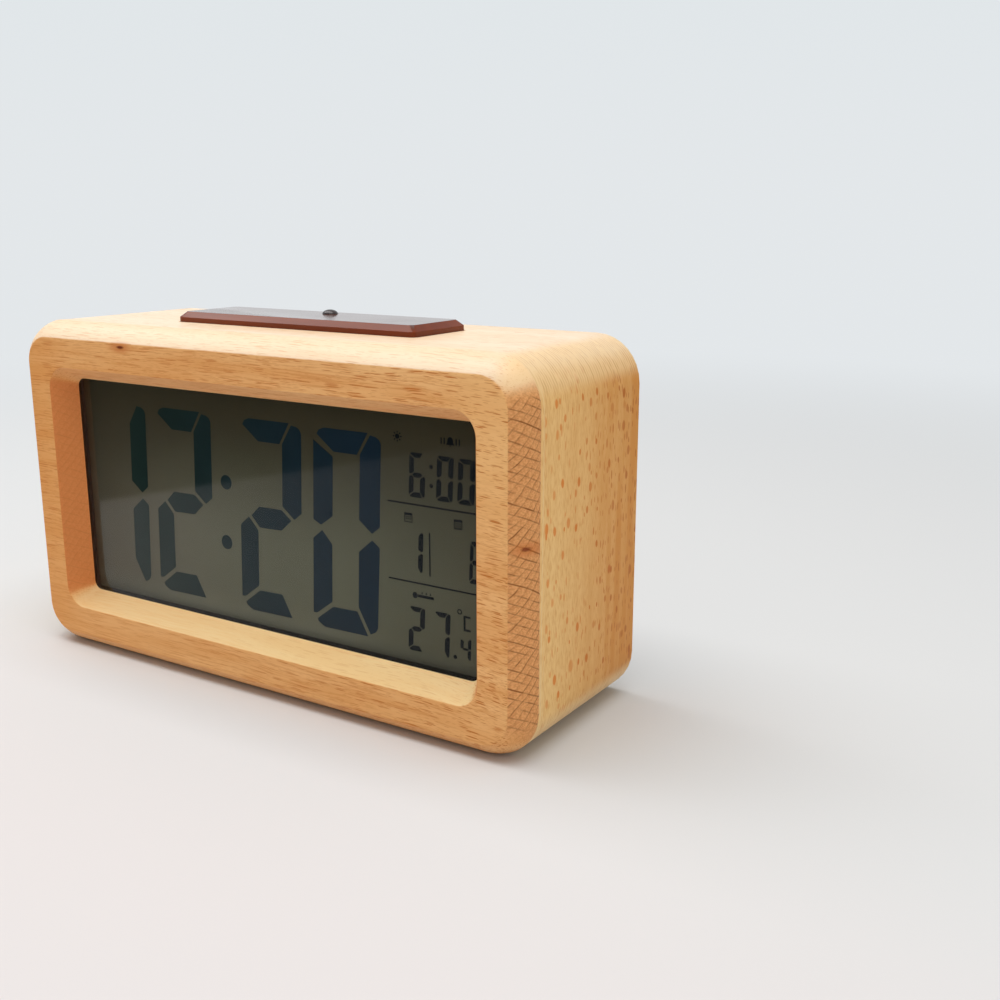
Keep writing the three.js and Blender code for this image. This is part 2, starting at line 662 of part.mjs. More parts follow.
function rearCover() {
  const rim = COVER_LEDGE - FIT;
  const edge = outline(cavityWidth + 2 * rim, cavityHeight + 2 * rim, CAVITY_CORNER + rim);
  const doorHeight = doorTop - doorBottom;
  const doorHole = outline(2 * (doorHalf + FIT), doorHeight + 2 * FIT, DOOR_CORNER + FIT, bayMiddle);
  const buttonHole = rowOutline(
    REAR_BUTTON_WIDTH + 2 * FIT,
    REAR_BUTTON_HEIGHT + 2 * FIT,
    REAR_BUTTON_ROUND + FIT,
  );
  const sliderHole = rowOutline(SLIDER_SIDE + SLIDER_TRAVEL + 2 * FIT, SLIDER_SIDE + 2 * FIT, FIT);
  const soundHoles = Array.from({ length: SOUND_HOLES }, (_, i) => {
    const angle = (2 * Math.PI * i) / SOUND_HOLES;
    const x = besideBay + SOUND_HOLE_CIRCLE * Math.cos(angle);
    return circle(x, bayMiddle + SOUND_HOLE_CIRCLE * Math.sin(angle), SOUND_HOLE_RADIUS);
  });
  const vent = outline(VENT_WIDTH, VENT_HEIGHT, VENT_WIDTH / 2 - SEAT, bayMiddle, HOLE_STEPS);
  const vents = Array.from({ length: VENT_COUNT }, (_, i) =>
    moved(vent, (i - (VENT_COUNT - 1) / 2) * VENT_PITCH - besideBay, 0),
  );
  const sheet = plate(edge, coverInner, coverFace, [
    doorHole,
    ...buttonX.map((x) => moved(buttonHole, x, 0)),
    moved(sliderHole, sliderX, 0),
    circle(besideBay, bayMiddle, SOUND_HOLE_RADIUS),
    ...soundHoles,
    ...vents,
    ...earScrews.map(([x, z]) => circle(x, z, SCREW_RADIUS + SEAT)),
  ]);
  const bay = cut(
    block(
      [-bayHalf - BAY_WALL, bayFloor - BAY_FLOOR, bayBottom - BAY_WALL],
      [bayHalf + BAY_WALL, coverInner, bayTop + BAY_WALL],
    ),
    block([-bayHalf, bayFloor, bayBottom], [bayHalf, rear, bayTop]),
  );
  const pillars = corners(pillarX, ...pillarZ).map(([x, z]) =>
    rodY(PILLAR_RADIUS, x, z, trayBack + SEAT, coverFace - SEAT),
  );
  const bosses = [-REAR_BOARD_SCREW, REAR_BOARD_SCREW].map((x) =>
    rodY(STANDOFF_RADIUS, x, rowZ, rearBoardBack + SEAT, coverFace - SEAT),
  );
  const ringInner = BUZZER_RADIUS + FIT;
  const ringFront = coverInner - BUZZER_HEIGHT / 2;
  const ring = cut(
    rodY(ringInner + BUZZER_RING, besideBay, bayMiddle, ringFront, coverInner + SEAT),
    rodY(ringInner, besideBay, bayMiddle, ringFront - OVERSHOOT, rear),
  );
  const notches = [-TONGUE_X, TONGUE_X].map((x) =>
    block(
      [x - TONGUE_WIDTH / 2 - FIT, coverInner - 2 * TONGUE_REACH, bayBottom - BAY_WALL - OVERSHOOT],
      [x + TONGUE_WIDTH / 2 + FIT, coverInner, bayBottom + FIT],
    ),
  );
  return cut(
    joined(sheet, bay, ...pillars, ...bosses, ring),
    ...notches,
    ...endContacts.map(([side, number]) => solderTab(side, number, FIT)),
    ...earScrews.map(([x, z]) => rodY(SCREW_HEAD_RADIUS + FIT, x, z, screwSeat, rear)),
    ...[-REAR_BOARD_SCREW, REAR_BOARD_SCREW].map((x) =>
      rodY(SCREW_RADIUS + SEAT, x, rowZ, rearBoardFront, rearBoardFront + BOARD_SCREW_LENGTH + SEAT),
    ),
    rodY(THUMB_RADIUS, 0, doorTop, coverFace - THUMB_DEPTH, rear),
  );
}

// Door with its two tongues, grip ridges and a thumb edge
function batteryDoor() {
  const edge = outline(2 * doorHalf, doorTop - doorBottom, DOOR_CORNER, bayMiddle);
  const sheet = plate(edge, doorInner, coverFace);
  const tongueBack = coverInner - SEAT;
  const tongueFront = tongueBack - TONGUE_THICKNESS;
  const tongues = [-TONGUE_X, TONGUE_X].flatMap((x) => {
    const near = x - TONGUE_WIDTH / 2;
    const far = x + TONGUE_WIDTH / 2;
    return [
      block([near, tongueFront, doorBottom - TONGUE_REACH], [far, tongueBack, bayBottom]),
      block([near, tongueFront, doorBottom + SEAT], [far, doorInner + SEAT, bayBottom]),
    ];
  });
  const grips = Array.from({ length: GRIP_COUNT }, (_, i) => {
    const z = doorTop - THUMB_RADIUS - i * 2 * GRIP_WIDTH;
    return block(
      [-GRIP_LENGTH / 2, coverFace - GRIP_HEIGHT, z - GRIP_WIDTH / 2],
      [GRIP_LENGTH / 2, coverFace + GRIP_HEIGHT, z + GRIP_WIDTH / 2],
    );
  });
  return joined(sheet, ...tongues, ...grips);
}

function rearBoard() {
  const points = outline(2 * rearBoardHalf, REAR_BOARD_HEIGHT, BOARD_CORNER, rowZ);
  const holes = [-REAR_BOARD_SCREW, REAR_BOARD_SCREW].map((x) => circle(x, rowZ, SCREW_RADIUS + SEAT));
  return plate(points, rearBoardFront, rearBoardBack, holes);
}

// Cap through the cover with a flange behind it, about the middle of the row
function rearButton() {
  const wide = REAR_BUTTON_FLANGE + FIT;
  const cap = rowOutline(REAR_BUTTON_WIDTH, REAR_BUTTON_HEIGHT, REAR_BUTTON_ROUND);
  const flange = rowOutline(REAR_BUTTON_WIDTH + 2 * wide, REAR_BUTTON_HEIGHT + 2 * wide, REAR_BUTTON_ROUND);
  return joined(
    plate(cap, buttonFlangeFront, coverFace + REAR_BUTTON_SHOW),
    plate(flange, buttonFlangeFront, buttonFlangeBack),
  );
}

function rowOutline(width, height, corner) {
  return outline(width, height, corner, rowZ, HOLE_STEPS);
}

const slideBodyBack = rearBoardBack + SLIDE_SWITCH_BODY;

function sensorSwitch() {
  const wide = SLIDE_SWITCH_WIDTH / 2;
  const tall = SLIDE_SWITCH_HEIGHT / 2;
  return block([sliderX - wide, rearBoardBack, rowZ - tall], [sliderX + wide, slideBodyBack, rowZ + tall]);
}

// Knob at the left end of its slot, on a slide that runs between the switch and the cover
function sensorSlider() {
  const x = sliderX - SLIDER_TRAVEL / 2;
  const half = SLIDER_SIDE / 2;
  const wide = half + SLIDER_TRAVEL / 2 + FIT;
  const tall = SLIDE_SWITCH_HEIGHT / 2;
  const slideFront = slideBodyBack + SEAT;
  return joined(
    block([x - wide, slideFront, rowZ - tall], [x + wide, coverInner - FIT, rowZ + tall]),
    block([x - half, slideFront, rowZ - half], [x + half, coverFace + SLIDER_SHOW, rowZ + half]),
  );
}

function buzzer() {
  return rodY(BUZZER_RADIUS, besideBay, bayMiddle, coverInner - SEAT - BUZZER_HEIGHT, coverInner - SEAT);
}

// Bead on two stiff legs, reaching from the main board towards the vents
function tempSensor() {
  const bead = new THREE.SphereGeometry(BEAD_RADIUS, ROUND_STEPS, ARC_STEPS).translate(0, BEAD_LEAD, 0);
  const legs = [-0.5, 0.5].map((side) => rodY(BEAD_RADIUS / 4, side * BEAD_RADIUS, 0, 0, BEAD_LEAD));
  return joined(bead, ...legs);
}

// Dry cell along X about its middle, nub towards +X
function cell() {
  const half = CELL_LENGTH / 2;
  const rim = CELL_RADIUS - FIT;
  const shoulder = half - CELL_NUB;
  const standing = turned([
    [0, -half],
    [rim, -half],
    [CELL_RADIUS, -half + FIT],
    [CELL_RADIUS, shoulder - FIT],
    [rim, shoulder],
    [CELL_NUB_RADIUS, shoulder],
    [CELL_NUB_RADIUS, half - FIT],
    [CELL_NUB_RADIUS - FIT, half],
    [0, half],
  ]);
  return standing.rotateY(Math.PI / 2);
}

// Sprung wire that narrows from the contact plate towards the cell, along +X from the origin
class SpringCurve extends THREE.Curve {
  getPoint(along, target = new THREE.Vector3()) {
    const angle = 2 * Math.PI * SPRING_TURNS * along;
    const radius = THREE.MathUtils.lerp(SPRING_BASE_RADIUS, SPRING_TIP_RADIUS, along);
    const run = SPRING_LENGTH - SPRING_WIRE;
    return target.set(SPRING_WIRE / 2 + run * along, radius * Math.cos(angle), radius * Math.sin(angle));
  }
}

const springSteps = Math.round(SPRING_TURNS * TURN_STEPS);

function contactSpring() {
  const wire = new THREE.Shape(circle(0, 0, SPRING_WIRE / 2, WIRE_STEPS));
  const options = { steps: springSteps, extrudePath: new SpringCurve(), bevelEnabled: false };
  return new THREE.ExtrudeGeometry(wire, options);
}

// Least gap from one turn of the spring's wire to another, on points half a turn or more apart
function springGap() {
  const points = new SpringCurve().getPoints(springSteps);
  let least = Infinity;
  for (let i = 0; i < points.length; i++) {
    for (let j = i + TURN_STEPS / 2; j < points.length; j++) {
      least = Math.min(least, points[i].distanceTo(points[j]) - SPRING_WIRE);
    }
  }
  return least;
}
console.log(`contact springs: least gap between turns ${springGap().toFixed(2)} mm`);

function cellZ(number) {
  return bayBottom + FIT + CELL_RADIUS + number * CELL_PITCH;
}

// Contact plate at the left or the right end of the bay, over the cells from one number to another
function contactPlate(side, first, last) {
  const low = cellZ(first) - CONTACT_WIDTH / 2;
  const high = cellZ(last) + CONTACT_WIDTH / 2;
  return contactBlock(side, cellY - CONTACT_WIDTH / 2, cellY + CONTACT_WIDTH / 2, low, high);
}

function contactBlock(side, near, far, low, high, margin = 0) {
  const inner = side * (contactInner - margin);
  const outer = side * (contactInner + CONTACT_THICKNESS + margin);
  return block([Math.min(inner, outer), near, low], [Math.max(inner, outer), far, high]);
}

// The ends of the row of cells, as a side of the bay and a cell
const endContacts = [[-1, 0], [1, CELL_COUNT - 1]];

// Solder tab of an end contact, through the bay's floor, or its slot when grown by a margin
function solderTab(side, number, margin = 0) {
  const half = TAB_WIDTH / 2 + margin;
  return contactBlock(side, tabFront - margin, cellY, cellZ(number) - half, cellZ(number) + half, margin);
}

function endContact(side, number) {
  return joined(contactPlate(side, number, number), solderTab(side, number));
}

// Flat cable across X, along a line drawn in Y and Z
function ribbon(x, line) {
  const curve = new THREE.SplineCurve(line.map(([y, z]) => new THREE.Vector2(y, z)));
  const rings = Array.from({ length: CABLE_STEPS + 1 }, (_, i) => {
    const here = curve.getPoint(i / CABLE_STEPS);
    const along = curve.getTangent(i / CABLE_STEPS);
    const lift = new THREE.Vector2(-along.y, along.x).multiplyScalar(RIBBON_THICKNESS / 2);
    const low = here.clone().sub(lift);
    const high = here.clone().add(lift);
    const left = x - RIBBON_WIDTH / 2;
    const right = x + RIBBON_WIDTH / 2;
    return [
      new THREE.Vector3(left, low.x, low.y),
      new THREE.Vector3(right, low.x, low.y),
      new THREE.Vector3(right, high.x, high.y),
      new THREE.Vector3(left, high.x, high.y),
    ];
  });
  return skin(rings);
}

// Wire of a given section from a point behind the main board forwards to it, stepping aside on the way
function lead(section, x, y, z, aside) {
  const path = new THREE.CatmullRomCurve3([
    new THREE.Vector3(x, y, z),
    new THREE.Vector3(x, y - RIBBON_BEND, z),
    new THREE.Vector3(x + aside, boardBack + SEAT + RIBBON_BEND, z + LEAD_SIDESTEP),
    new THREE.Vector3(x + aside, boardBack + SEAT, z + LEAD_SIDESTEP),
  ]);
  const options = { steps: CABLE_STEPS, extrudePath: path, bevelEnabled: false };
  return new THREE.ExtrudeGeometry(new THREE.Shape(section), options);
}

const wireSection = circle(0, 0, LEAD_RADIUS, WIRE_STEPS);
const twinSection = outline(4 * LEAD_RADIUS, 2 * LEAD_RADIUS, LEAD_RADIUS / 2, 0, 1);

const clock = new THREE.Group();

function add(parent, name, geometry, finish, position = [0, 0, 0], rotation = [0, 0, 0]) {
  const [color, roughness, metalness] = finishes[finish];
  const piece = new THREE.Mesh(geometry, new THREE.MeshStandardMaterial({ color, roughness, metalness }));
  piece.name = name;
  piece.position.set(...position);
  piece.rotation.set(...rotation);
  parent.add(piece);
}

function group() {
  const made = new THREE.Group();
  clock.add(made);
  return made;
}

const towardsRear = [-Math.PI / 2, 0, 0]; // turns +Z to +Y
const towardsFront = [Math.PI / 2, 0, 0]; // turns +Z to -Y
const boardSeat = boardBack + SEAT;

const woodwork = group();
add(woodwork, "front_frame", frontFrame(), "face");
add(woodwork, "case_body", caseBody(), "shell");

const display = group();
const lensOutline = outline(lensWidth, lensHeight, WINDOW_CORNER);
add(display, "display_lens", plate(lensOutline, seam, lensBack), "clear");
add(display, "lens_gasket", lensGasket(), "black");
add(display, "lcd_panel", lcdPanel(), "glass");
add(display, "backlight_panel", backlightPanel(), "white");
add(display, "backlight_led", backlightLed(), "white");
add(display, "zebra_strip", zebraStrip(), "rubber");
add(display, "lcd_holder", lcdHolder(), "white");
add(display, "main_board", mainBoard(), "board");
add(display, "controller_chip", controllerChip(), "black", [0, boardSeat, bayMiddle], towardsRear);
const crystalY = boardSeat + CRYSTAL_RADIUS;
add(display, "clock_crystal", clockCrystal(), "steel", [CRYSTAL_OFFSET, crystalY, bayMiddle]);
add(display, "temp_sensor", tempSensor(), "black", [-besideBay, boardSeat, bayMiddle]);
boardScrews.forEach(([x, z], i) => {
  const name = `board_screw_${i + 1}`;
  add(display, name, screw(BOARD_SCREW_LENGTH), "steel", [x, boardSeat, z], towardsRear);
});

const topControl = group();
add(topControl, "snooze_button", snoozeButton(), "brown");
add(topControl, "top_board", topBoard(), "board");
add(topControl, "sensor_spacer", sensorSpacer(), "black", [0, sensorY, topBoardTop + SEAT / 2]);
add(topControl, "light_sensor", lightSensor(), "black", [0, sensorY, sensorFoot]);
["left", "right"].forEach((side, i) => {
  const x = (2 * i - 1) * SNOOZE_SWITCH_X;
  add(topControl, `snooze_switch_${side}`, pushSwitch(), "black", [x, plateMiddle, topBoardTop]);
});
topScrews.forEach((x, i) => {
  const name = `top_screw_${i + 1}`;
  add(topControl, name, screw(BOARD_SCREW_LENGTH), "steel", [x, plateMiddle, topBoardTop + SEAT]);
});

const back = group();
add(back, "rear_cover", rearCover(), "cover");
add(back, "battery_door", batteryDoor(), "cover");
add(back, "rear_board", rearBoard(), "board");
["set", "alarm", "up", "down"].forEach((role, i) => {
  add(back, `${role}_button`, rearButton(), "cover", [buttonX[i], 0, 0]);
  add(back, `${role}_switch`, pushSwitch(), "black", [buttonX[i], rearBoardBack, rowZ], towardsRear);
});
add(back, "sensor_switch", sensorSwitch(), "steel");
add(back, "sensor_slider", sensorSlider(), "black");
add(back, "buzzer", buzzer(), "black");
[-REAR_BOARD_SCREW, REAR_BOARD_SCREW].forEach((x, i) => {
  const name = `rear_board_screw_${i + 1}`;
  add(back, name, screw(BOARD_SCREW_LENGTH), "steel", [x, rearBoardFront - SEAT, rowZ], towardsFront);
});
earScrews.forEach(([x, z], i) => {
  const name = `cover_screw_${i + 1}`;
  add(back, name, screw(COVER_SCREW_LENGTH), "steel", [x, screwSeat + SEAT, z], towardsRear);
});

// Cells in series: the first and third have their nubs to the left, the second to the right
const battery = group();
for (let number = 0; number < CELL_COUNT; number++) {
  const nubSide = number % 2 === 0 ? -1 : 1;
  const turn = [0, 0, nubSide < 0 ? Math.PI : 0];
  const end = contactInner - FIT;
  const cellX = nubSide * (end - CELL_LENGTH / 2);
  add(battery, `cell_${number + 1}`, cell(), "sleeve", [cellX, cellY, cellZ(number)], turn);
  const springAt = [-nubSide * end, cellY, cellZ(number)];
  add(battery, `contact_spring_${number + 1}`, contactSpring(), "steel", springAt, turn);
}
add(battery, "contact_plus", endContact(...endContacts[0]), "silver");
add(battery, "contact_bridge_right", contactPlate(1, 0, 1), "silver");
add(battery, "contact_bridge_left", contactPlate(-1, 1, 2), "silver");
add(battery, "contact_minus", endContact(...endContacts[1]), "silver");

const wiring = group();
const tabMiddle = contactInner + CONTACT_THICKNESS / 2;
["plus", "minus"].forEach((role, i) => {
  const [side, number] = endContacts[i];
  const wire = lead(wireSection, side * tabMiddle, tabFront - SEAT, cellZ(number), -side * LEAD_SIDESTEP);
  add(wiring, `battery_lead_${role}`, wire, i === 0 ? "red" : "black");
});
const buzzerFront = coverInner - 2 * SEAT - BUZZER_HEIGHT;
add(wiring, "buzzer_lead", lead(twinSection, besideBay, buzzerFront, bayMiddle, -LEAD_SIDESTEP), "red");
const rearRibbonZ = rowZ - REAR_BOARD_HEIGHT / 4;
const rearRibbon = ribbon(0, [
  [boardSeat, rearRibbonZ - RIBBON_BEND],
  [boardSeat + RIBBON_BEND, rearRibbonZ - RIBBON_BEND],
  [rearBoardFront - SEAT - RIBBON_BEND, rearRibbonZ],
  [rearBoardFront - SEAT, rearRibbonZ],
]);
add(wiring, "rear_ribbon", rearRibbon, "grey");
const topRibbonZ = boardTop - RIBBON_BEND;
const topRibbon = ribbon(RIBBON_BEND - SNOOZE_SWITCH_X + RIBBON_WIDTH / 2, [
  [boardSeat, topRibbonZ],
  [boardSeat + RIBBON_BEND, topRibbonZ],
  [plateMiddle, topBoardBottom - SEAT - RIBBON_BEND],
  [plateMiddle, topBoardBottom - SEAT],
]);
add(wiring, "top_ribbon", topRibbon, "grey");

export default clock;
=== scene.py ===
"""Looks of a desk alarm clock in beech: the wood, the display, the press plate and the rear."""

import math

import bmesh
import bpy
from mathutils import Matrix, Vector


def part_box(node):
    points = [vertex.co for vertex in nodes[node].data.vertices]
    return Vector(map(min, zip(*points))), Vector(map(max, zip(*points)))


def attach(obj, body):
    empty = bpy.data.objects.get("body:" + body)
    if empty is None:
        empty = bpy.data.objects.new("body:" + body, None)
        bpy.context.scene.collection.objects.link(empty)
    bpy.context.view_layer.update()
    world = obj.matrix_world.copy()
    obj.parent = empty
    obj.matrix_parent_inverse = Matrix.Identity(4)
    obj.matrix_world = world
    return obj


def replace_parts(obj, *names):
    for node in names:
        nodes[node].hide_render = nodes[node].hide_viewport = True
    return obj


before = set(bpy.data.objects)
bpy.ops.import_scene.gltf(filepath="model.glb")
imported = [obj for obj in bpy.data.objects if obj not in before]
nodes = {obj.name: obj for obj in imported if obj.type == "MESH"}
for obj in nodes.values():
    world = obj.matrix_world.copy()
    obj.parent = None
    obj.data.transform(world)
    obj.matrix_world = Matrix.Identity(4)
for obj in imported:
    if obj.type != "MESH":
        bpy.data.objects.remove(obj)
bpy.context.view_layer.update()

MM = 0.001

# Places in millimetres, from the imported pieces
LCD_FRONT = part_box("lcd_panel")[0].y / MM
LENS_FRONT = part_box("display_lens")[0].y / MM
REAR_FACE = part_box("rear_cover")[1].y / MM
FRAME_LOW, FRAME_HIGH = (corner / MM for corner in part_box("front_frame"))
MIDDLE = (FRAME_LOW.z + FRAME_HIGH.z) / 2

# The frame's face and its splayed opening, in millimetres
FACE_MARGIN = 10.0
OPENING_SPLAY = 3.0
OPENING_HALF = FRAME_HIGH.x - FACE_MARGIN
OPENING_LOW = FRAME_LOW.z + FACE_MARGIN + OPENING_SPLAY


class Signal:
    """One output of a finish's nodes. Arithmetic on it adds Math nodes."""

    def __init__(self, finish, socket):
        self.finish = finish
        self.socket = socket

    def maths(self, operation, *terms):
        return self.finish.node("ShaderNodeMath", {"operation": operation}, dict(enumerate(terms)))

    def also(self, output):
        """Another output of the same node."""
        return Signal(self.finish, self.socket.node.outputs[output])

    def root(self):
        return self.maths("SQRT", self)

    def fraction(self):
        return self.maths("FRACT", self)

    def most(self, other):
        return self.maths("MAXIMUM", self, other)

    def __add__(self, other):
        return self.maths("ADD", self, other)

    def __radd__(self, other):
        return self.maths("ADD", other, self)

    def __sub__(self, other):
        return self.maths("SUBTRACT", self, other)

    def __rsub__(self, other):
        return self.maths("SUBTRACT", other, self)

    def __mul__(self, other):
        return self.maths("MULTIPLY", self, other)

    def __rmul__(self, other):
        return self.maths("MULTIPLY", other, self)

    def __truediv__(self, other):
        return self.maths("DIVIDE", self, other)

    def __rtruediv__(self, other):
        return self.maths("DIVIDE", other, self)

    def __abs__(self):
        return self.maths("ABSOLUTE", self)


class Finish:
    """The nodes of one material, or of the world."""

    def __init__(self, tree):
        self.tree = tree
        tree.nodes.clear()

    def node(self, kind, settings=None, sockets=None, output=0):
        """A new node with its settings and inputs, given back as one of its outputs."""
        made = self.tree.nodes.new(kind)
        for key, value in (settings or {}).items():
            setattr(made, key, value)
        for key, value in (sockets or {}).items():
            if isinstance(value, Signal):
                self.tree.links.new(value.socket, made.inputs[key])
            else:
                made.inputs[key].default_value = value
        return Signal(self, made.outputs[output]) if made.outputs else None

    def split(self, vector):
        """A vector's three parts."""
        x = self.node("ShaderNodeSeparateXYZ", None, {0: vector})
        return x, x.also(1), x.also(2)

    def place(self):
        """The point's X, Y and Z in millimetres."""
        here = self.node("ShaderNodeTexCoord", None, None, "Object")
        scaled = self.node("ShaderNodeVectorMath", {"operation": "SCALE"}, {0: here, "Scale": 1 / MM})
        return self.split(scaled)

    def facing(self):
        """The X, Y and Z parts of the surface's normal."""
        return self.split(self.node("ShaderNodeTexCoord", None, None, "Normal"))

    def grain(self, size):
        """Coordinates for a pattern of that size in millimetres."""
        here = self.node("ShaderNodeTexCoord", None, None, "Object")
        sockets = {"Vector": here, "Scale": [side * MM for side in size]}
        return self.node("ShaderNodeMapping", {"vector_type": "TEXTURE"}, sockets)

    def noise(self, vector, detail):
        sockets = {"Vector": vector, "Scale": 1.0, "Detail": detail}
        return self.node("ShaderNodeTexNoise", None, sockets)

    def ramp(self, value, low, high):
        """A smooth rise from 0 at low to 1 at high."""
        sockets = {"Value": value, "From Min": low, "From Max": high}
        return self.node("ShaderNodeMapRange", {"interpolation_type": "SMOOTHSTEP"}, sockets)

    def lines(self, vector, width):
        """Thin wandering lines along a pattern's longest side."""
        return 1 - self.ramp(abs(self.noise(vector, 1) - 0.5), width * 0.3, width)

    def cells(self, size, *place):
        """Coordinates for a pattern of that size, from places in millimetres."""
        sockets = {axis: at / side for axis, (at, side) in enumerate(zip(place, size))}
        return self.node("ShaderNodeCombineXYZ", None, sockets)

    def ruled(self, value, width):
        """Lines of uneven strength at a value's whole numbers, that wide as a share of the spacing."""
        part = value.fraction()
        index = value.maths("ROUND", value)
        strength = self.node("ShaderNodeTexWhiteNoise", {"noise_dimensions": "1D"}, {"W": index})
        return self.ramp(abs(part - 0.5), 0.5 - width, 0.5 - 0.4 * width) * (0.4 + 0.6 * strength)

    def flecks(self, vector, least, most, kept, dimensions="3D"):
        """Scattered ovals of uneven strength, of which a share is kept."""
        settings = {"voronoi_dimensions": dimensions}
        cell = self.node("ShaderNodeTexVoronoi", settings, {"Vector": vector, "Scale": 1.0})
        chance, size, strength = self.split(cell.also("Color"))
        oval = 1 - self.ramp(cell / (least + (most - least) * size), 0.6, 1.0)
        return oval * chance.maths("LESS_THAN", chance, kept) * (0.5 + 0.5 * strength)

    def mix(self, factor, first, second):
        def colour(value):
            return value if isinstance(value, Signal) else (*value, 1)

        settings = {"data_type": "RGBA"}
        return self.node("ShaderNodeMix", settings, {0: factor, 6: colour(first), 7: colour(second)}, 2)

    def bump(self, height, depth, strength=1.0):
        sockets = {"Height": height, "Distance": depth * MM, "Strength": strength}
        return self.node("ShaderNodeBump", None, sockets)

    def surface(self, sockets):
        shader = self.node("ShaderNodeBsdfPrincipled", None, sockets)
        self.close(shader)

    def close(self, shader):
        self.node("ShaderNodeOutputMaterial", None, {"Surface": shader})


finishes = {}


def new_finish(name):
    """The nodes of a new material, which is kept under that name."""
    material = bpy.data.materials.new(name + "_finish")
    material.use_nodes = True
    finishes[name] = material
    return Finish(material.node_tree)


# Frame: face, upper slope with painted sheen (the shell's top shares it), sill of the opening with painted
# light, sawn ends, knots
BEECH_PALE = (0.95, 0.55, 0.23)
BEECH_DEEP = (0.83, 0.405, 0.138)
BEECH_STREAK = (0.68, 0.265, 0.068)
BEECH_DASH = (0.55, 0.145, 0.015)
BEECH_WARM = (0.78, 0.31, 0.065)
BEECH_CLEAR = (0.98, 0.585, 0.24)
# Painted sheen: pale, lit copies of the wood for the upper slope and its turning corners; BEECH_SHADED is
# painted shade under downward faces
BEECH_BEND_SHEEN = (0.97, 0.68, 0.36)
BEECH_SHADED = (0.80, 0.47, 0.25)
BEECH_SHEEN_PALE = (0.93, 0.74, 0.53)
BEECH_SHEEN_DEEP = (0.90, 0.66, 0.43)
LIT_DASH = (0.70, 0.36, 0.14)
# Painted light: pale, lit copies of the wood for the opening's sill
SILL_LIT_PALE = (0.97, 0.75, 0.40)
SILL_LIT_DEEP = (0.92, 0.63, 0.29)
END_PALE = (0.85, 0.425, 0.165)
END_DEEP = (0.60, 0.245, 0.078)
# Painted bounce light: the warmer end grain inside the opening
END_BOUNCE_WARM = (0.72, 0.23, 0.06)
END_LINE = (0.22, 0.055, 0.010)
KNOT_HALO = (0.60, 0.16, 0.03)
KNOT_CORE = (0.17, 0.026, 0.007)

# Shell: its sides, their flecks and the lines round its corners
SHELL_PALE = (0.97, 0.65, 0.27)
SHELL_WARM = (0.71, 0.30, 0.06)
SHELL_FLECK = (0.80, 0.25, 0.035)
SHELL_DARK = (0.52, 0.15, 0.02)
SAPWOOD = (0.92, 0.70, 0.38)
CONTOUR_PALE = (0.93, 0.66, 0.34)
CONTOUR_DARK = (0.60, 0.31, 0.10)

WOOD_SHEEN = 0.12
WOOD_COAT_ROUGHNESS = 0.3
WOOD_RELIEF = 0.05
WOOD_RELIEF_SHARE = 0.5

# Places and spacings on the wood in millimetres
UPPER_PART = (30.0, 50.0)
LEFT_UPRIGHT = (-62.0, -50.0)
RIGHT_UPRIGHT = 46.0
SEAM_BAND = (-16.2, -14.8)
SHELL_DEPTH = (-16.0, 24.0)
RING_SPACING = 1.35
RAY_SPACING = 1.7
RING_ACROSS = (-0.935, 0.643)  # shares of y and z
RAY_ACROSS = (0.457, 0.927)
KNOTS = (  # x, z, half length, half height and darkness
    (-33.0, 71.7, 2.0, 0.62, 0.95),
    (66.4, 41.9, 1.0, 0.8, 0.75),
)

GRAIN_FALL = 0.07  # slope of the grain on the right upright
LINE_SHARE = 0.11  # width of a sawn line as a share of the spacing


def sawn_end(wood, crossed):
    """Colour and lines of end grain: rings and rays that cross, faint inside the opening and warmer there
    with painted bounce light.
    """
    x, y, z = wood.place()
    outside = wood.ramp(abs(x), OPENING_HALF - 0.1, OPENING_HALF + 1.1)
    wander = wood.noise(wood.grain((90, 12, 6)), 2)
    ring = (RING_ACROSS[1] * z + RING_ACROSS[0] * y) / RING_SPACING + 1.4 * wander
    ray = (RAY_ACROSS[1] * z + RAY_ACROSS[0] * y) / RAY_SPACING + 0.8 * wander
    patchy = wood.ramp(wood.noise(wood.grain((20, 2.2, 2.2)), 1), 0.35, 0.6)
    late = wood.ramp(ring.fraction(), 0.2, 1.0)
    pores = wood.noise(wood.grain((6, 0.35, 0.35)), 2)
    rings = wood.ruled(ring, LINE_SHARE) * (1 - 0.7 * patchy) * crossed
    rays = wood.ruled(ray + 40.0, LINE_SHARE) * (0.3 + 0.7 * patchy) * crossed
    colour = wood.mix(wood.ramp(pores, 0.35, 0.65) * 0.55 + late * 0.25, END_PALE, END_DEEP)
    # Painted bounce light: the end grain inside the opening is warmed, as wood lights wood there
    colour = wood.mix((1 - outside) * 0.75, colour, END_BOUNCE_WARM)
    colour = wood.mix(rings * (0.12 + 0.73 * outside), colour, END_LINE)
    colour = wood.mix(rays * (0.12 + 0.78 * outside), colour, END_LINE)
    return colour, rings + rays


def knotted(wood, colour):
    """A colour with the small dark knots."""
    x, _, z = wood.place()
    for side, up, long, tall, dark in KNOTS:
        along, aside = (x - side) / long, (z - up) / tall
        reach = (along * along + aside * aside).root()
        colour = wood.mix((1 - wood.ramp(reach, 0.4, 2.6)) * 0.7 * dark, colour, KNOT_HALO)
        colour = wood.mix((1 - wood.ramp(reach, 0.25, 0.75)) * dark, colour, KNOT_CORE)
    return colour


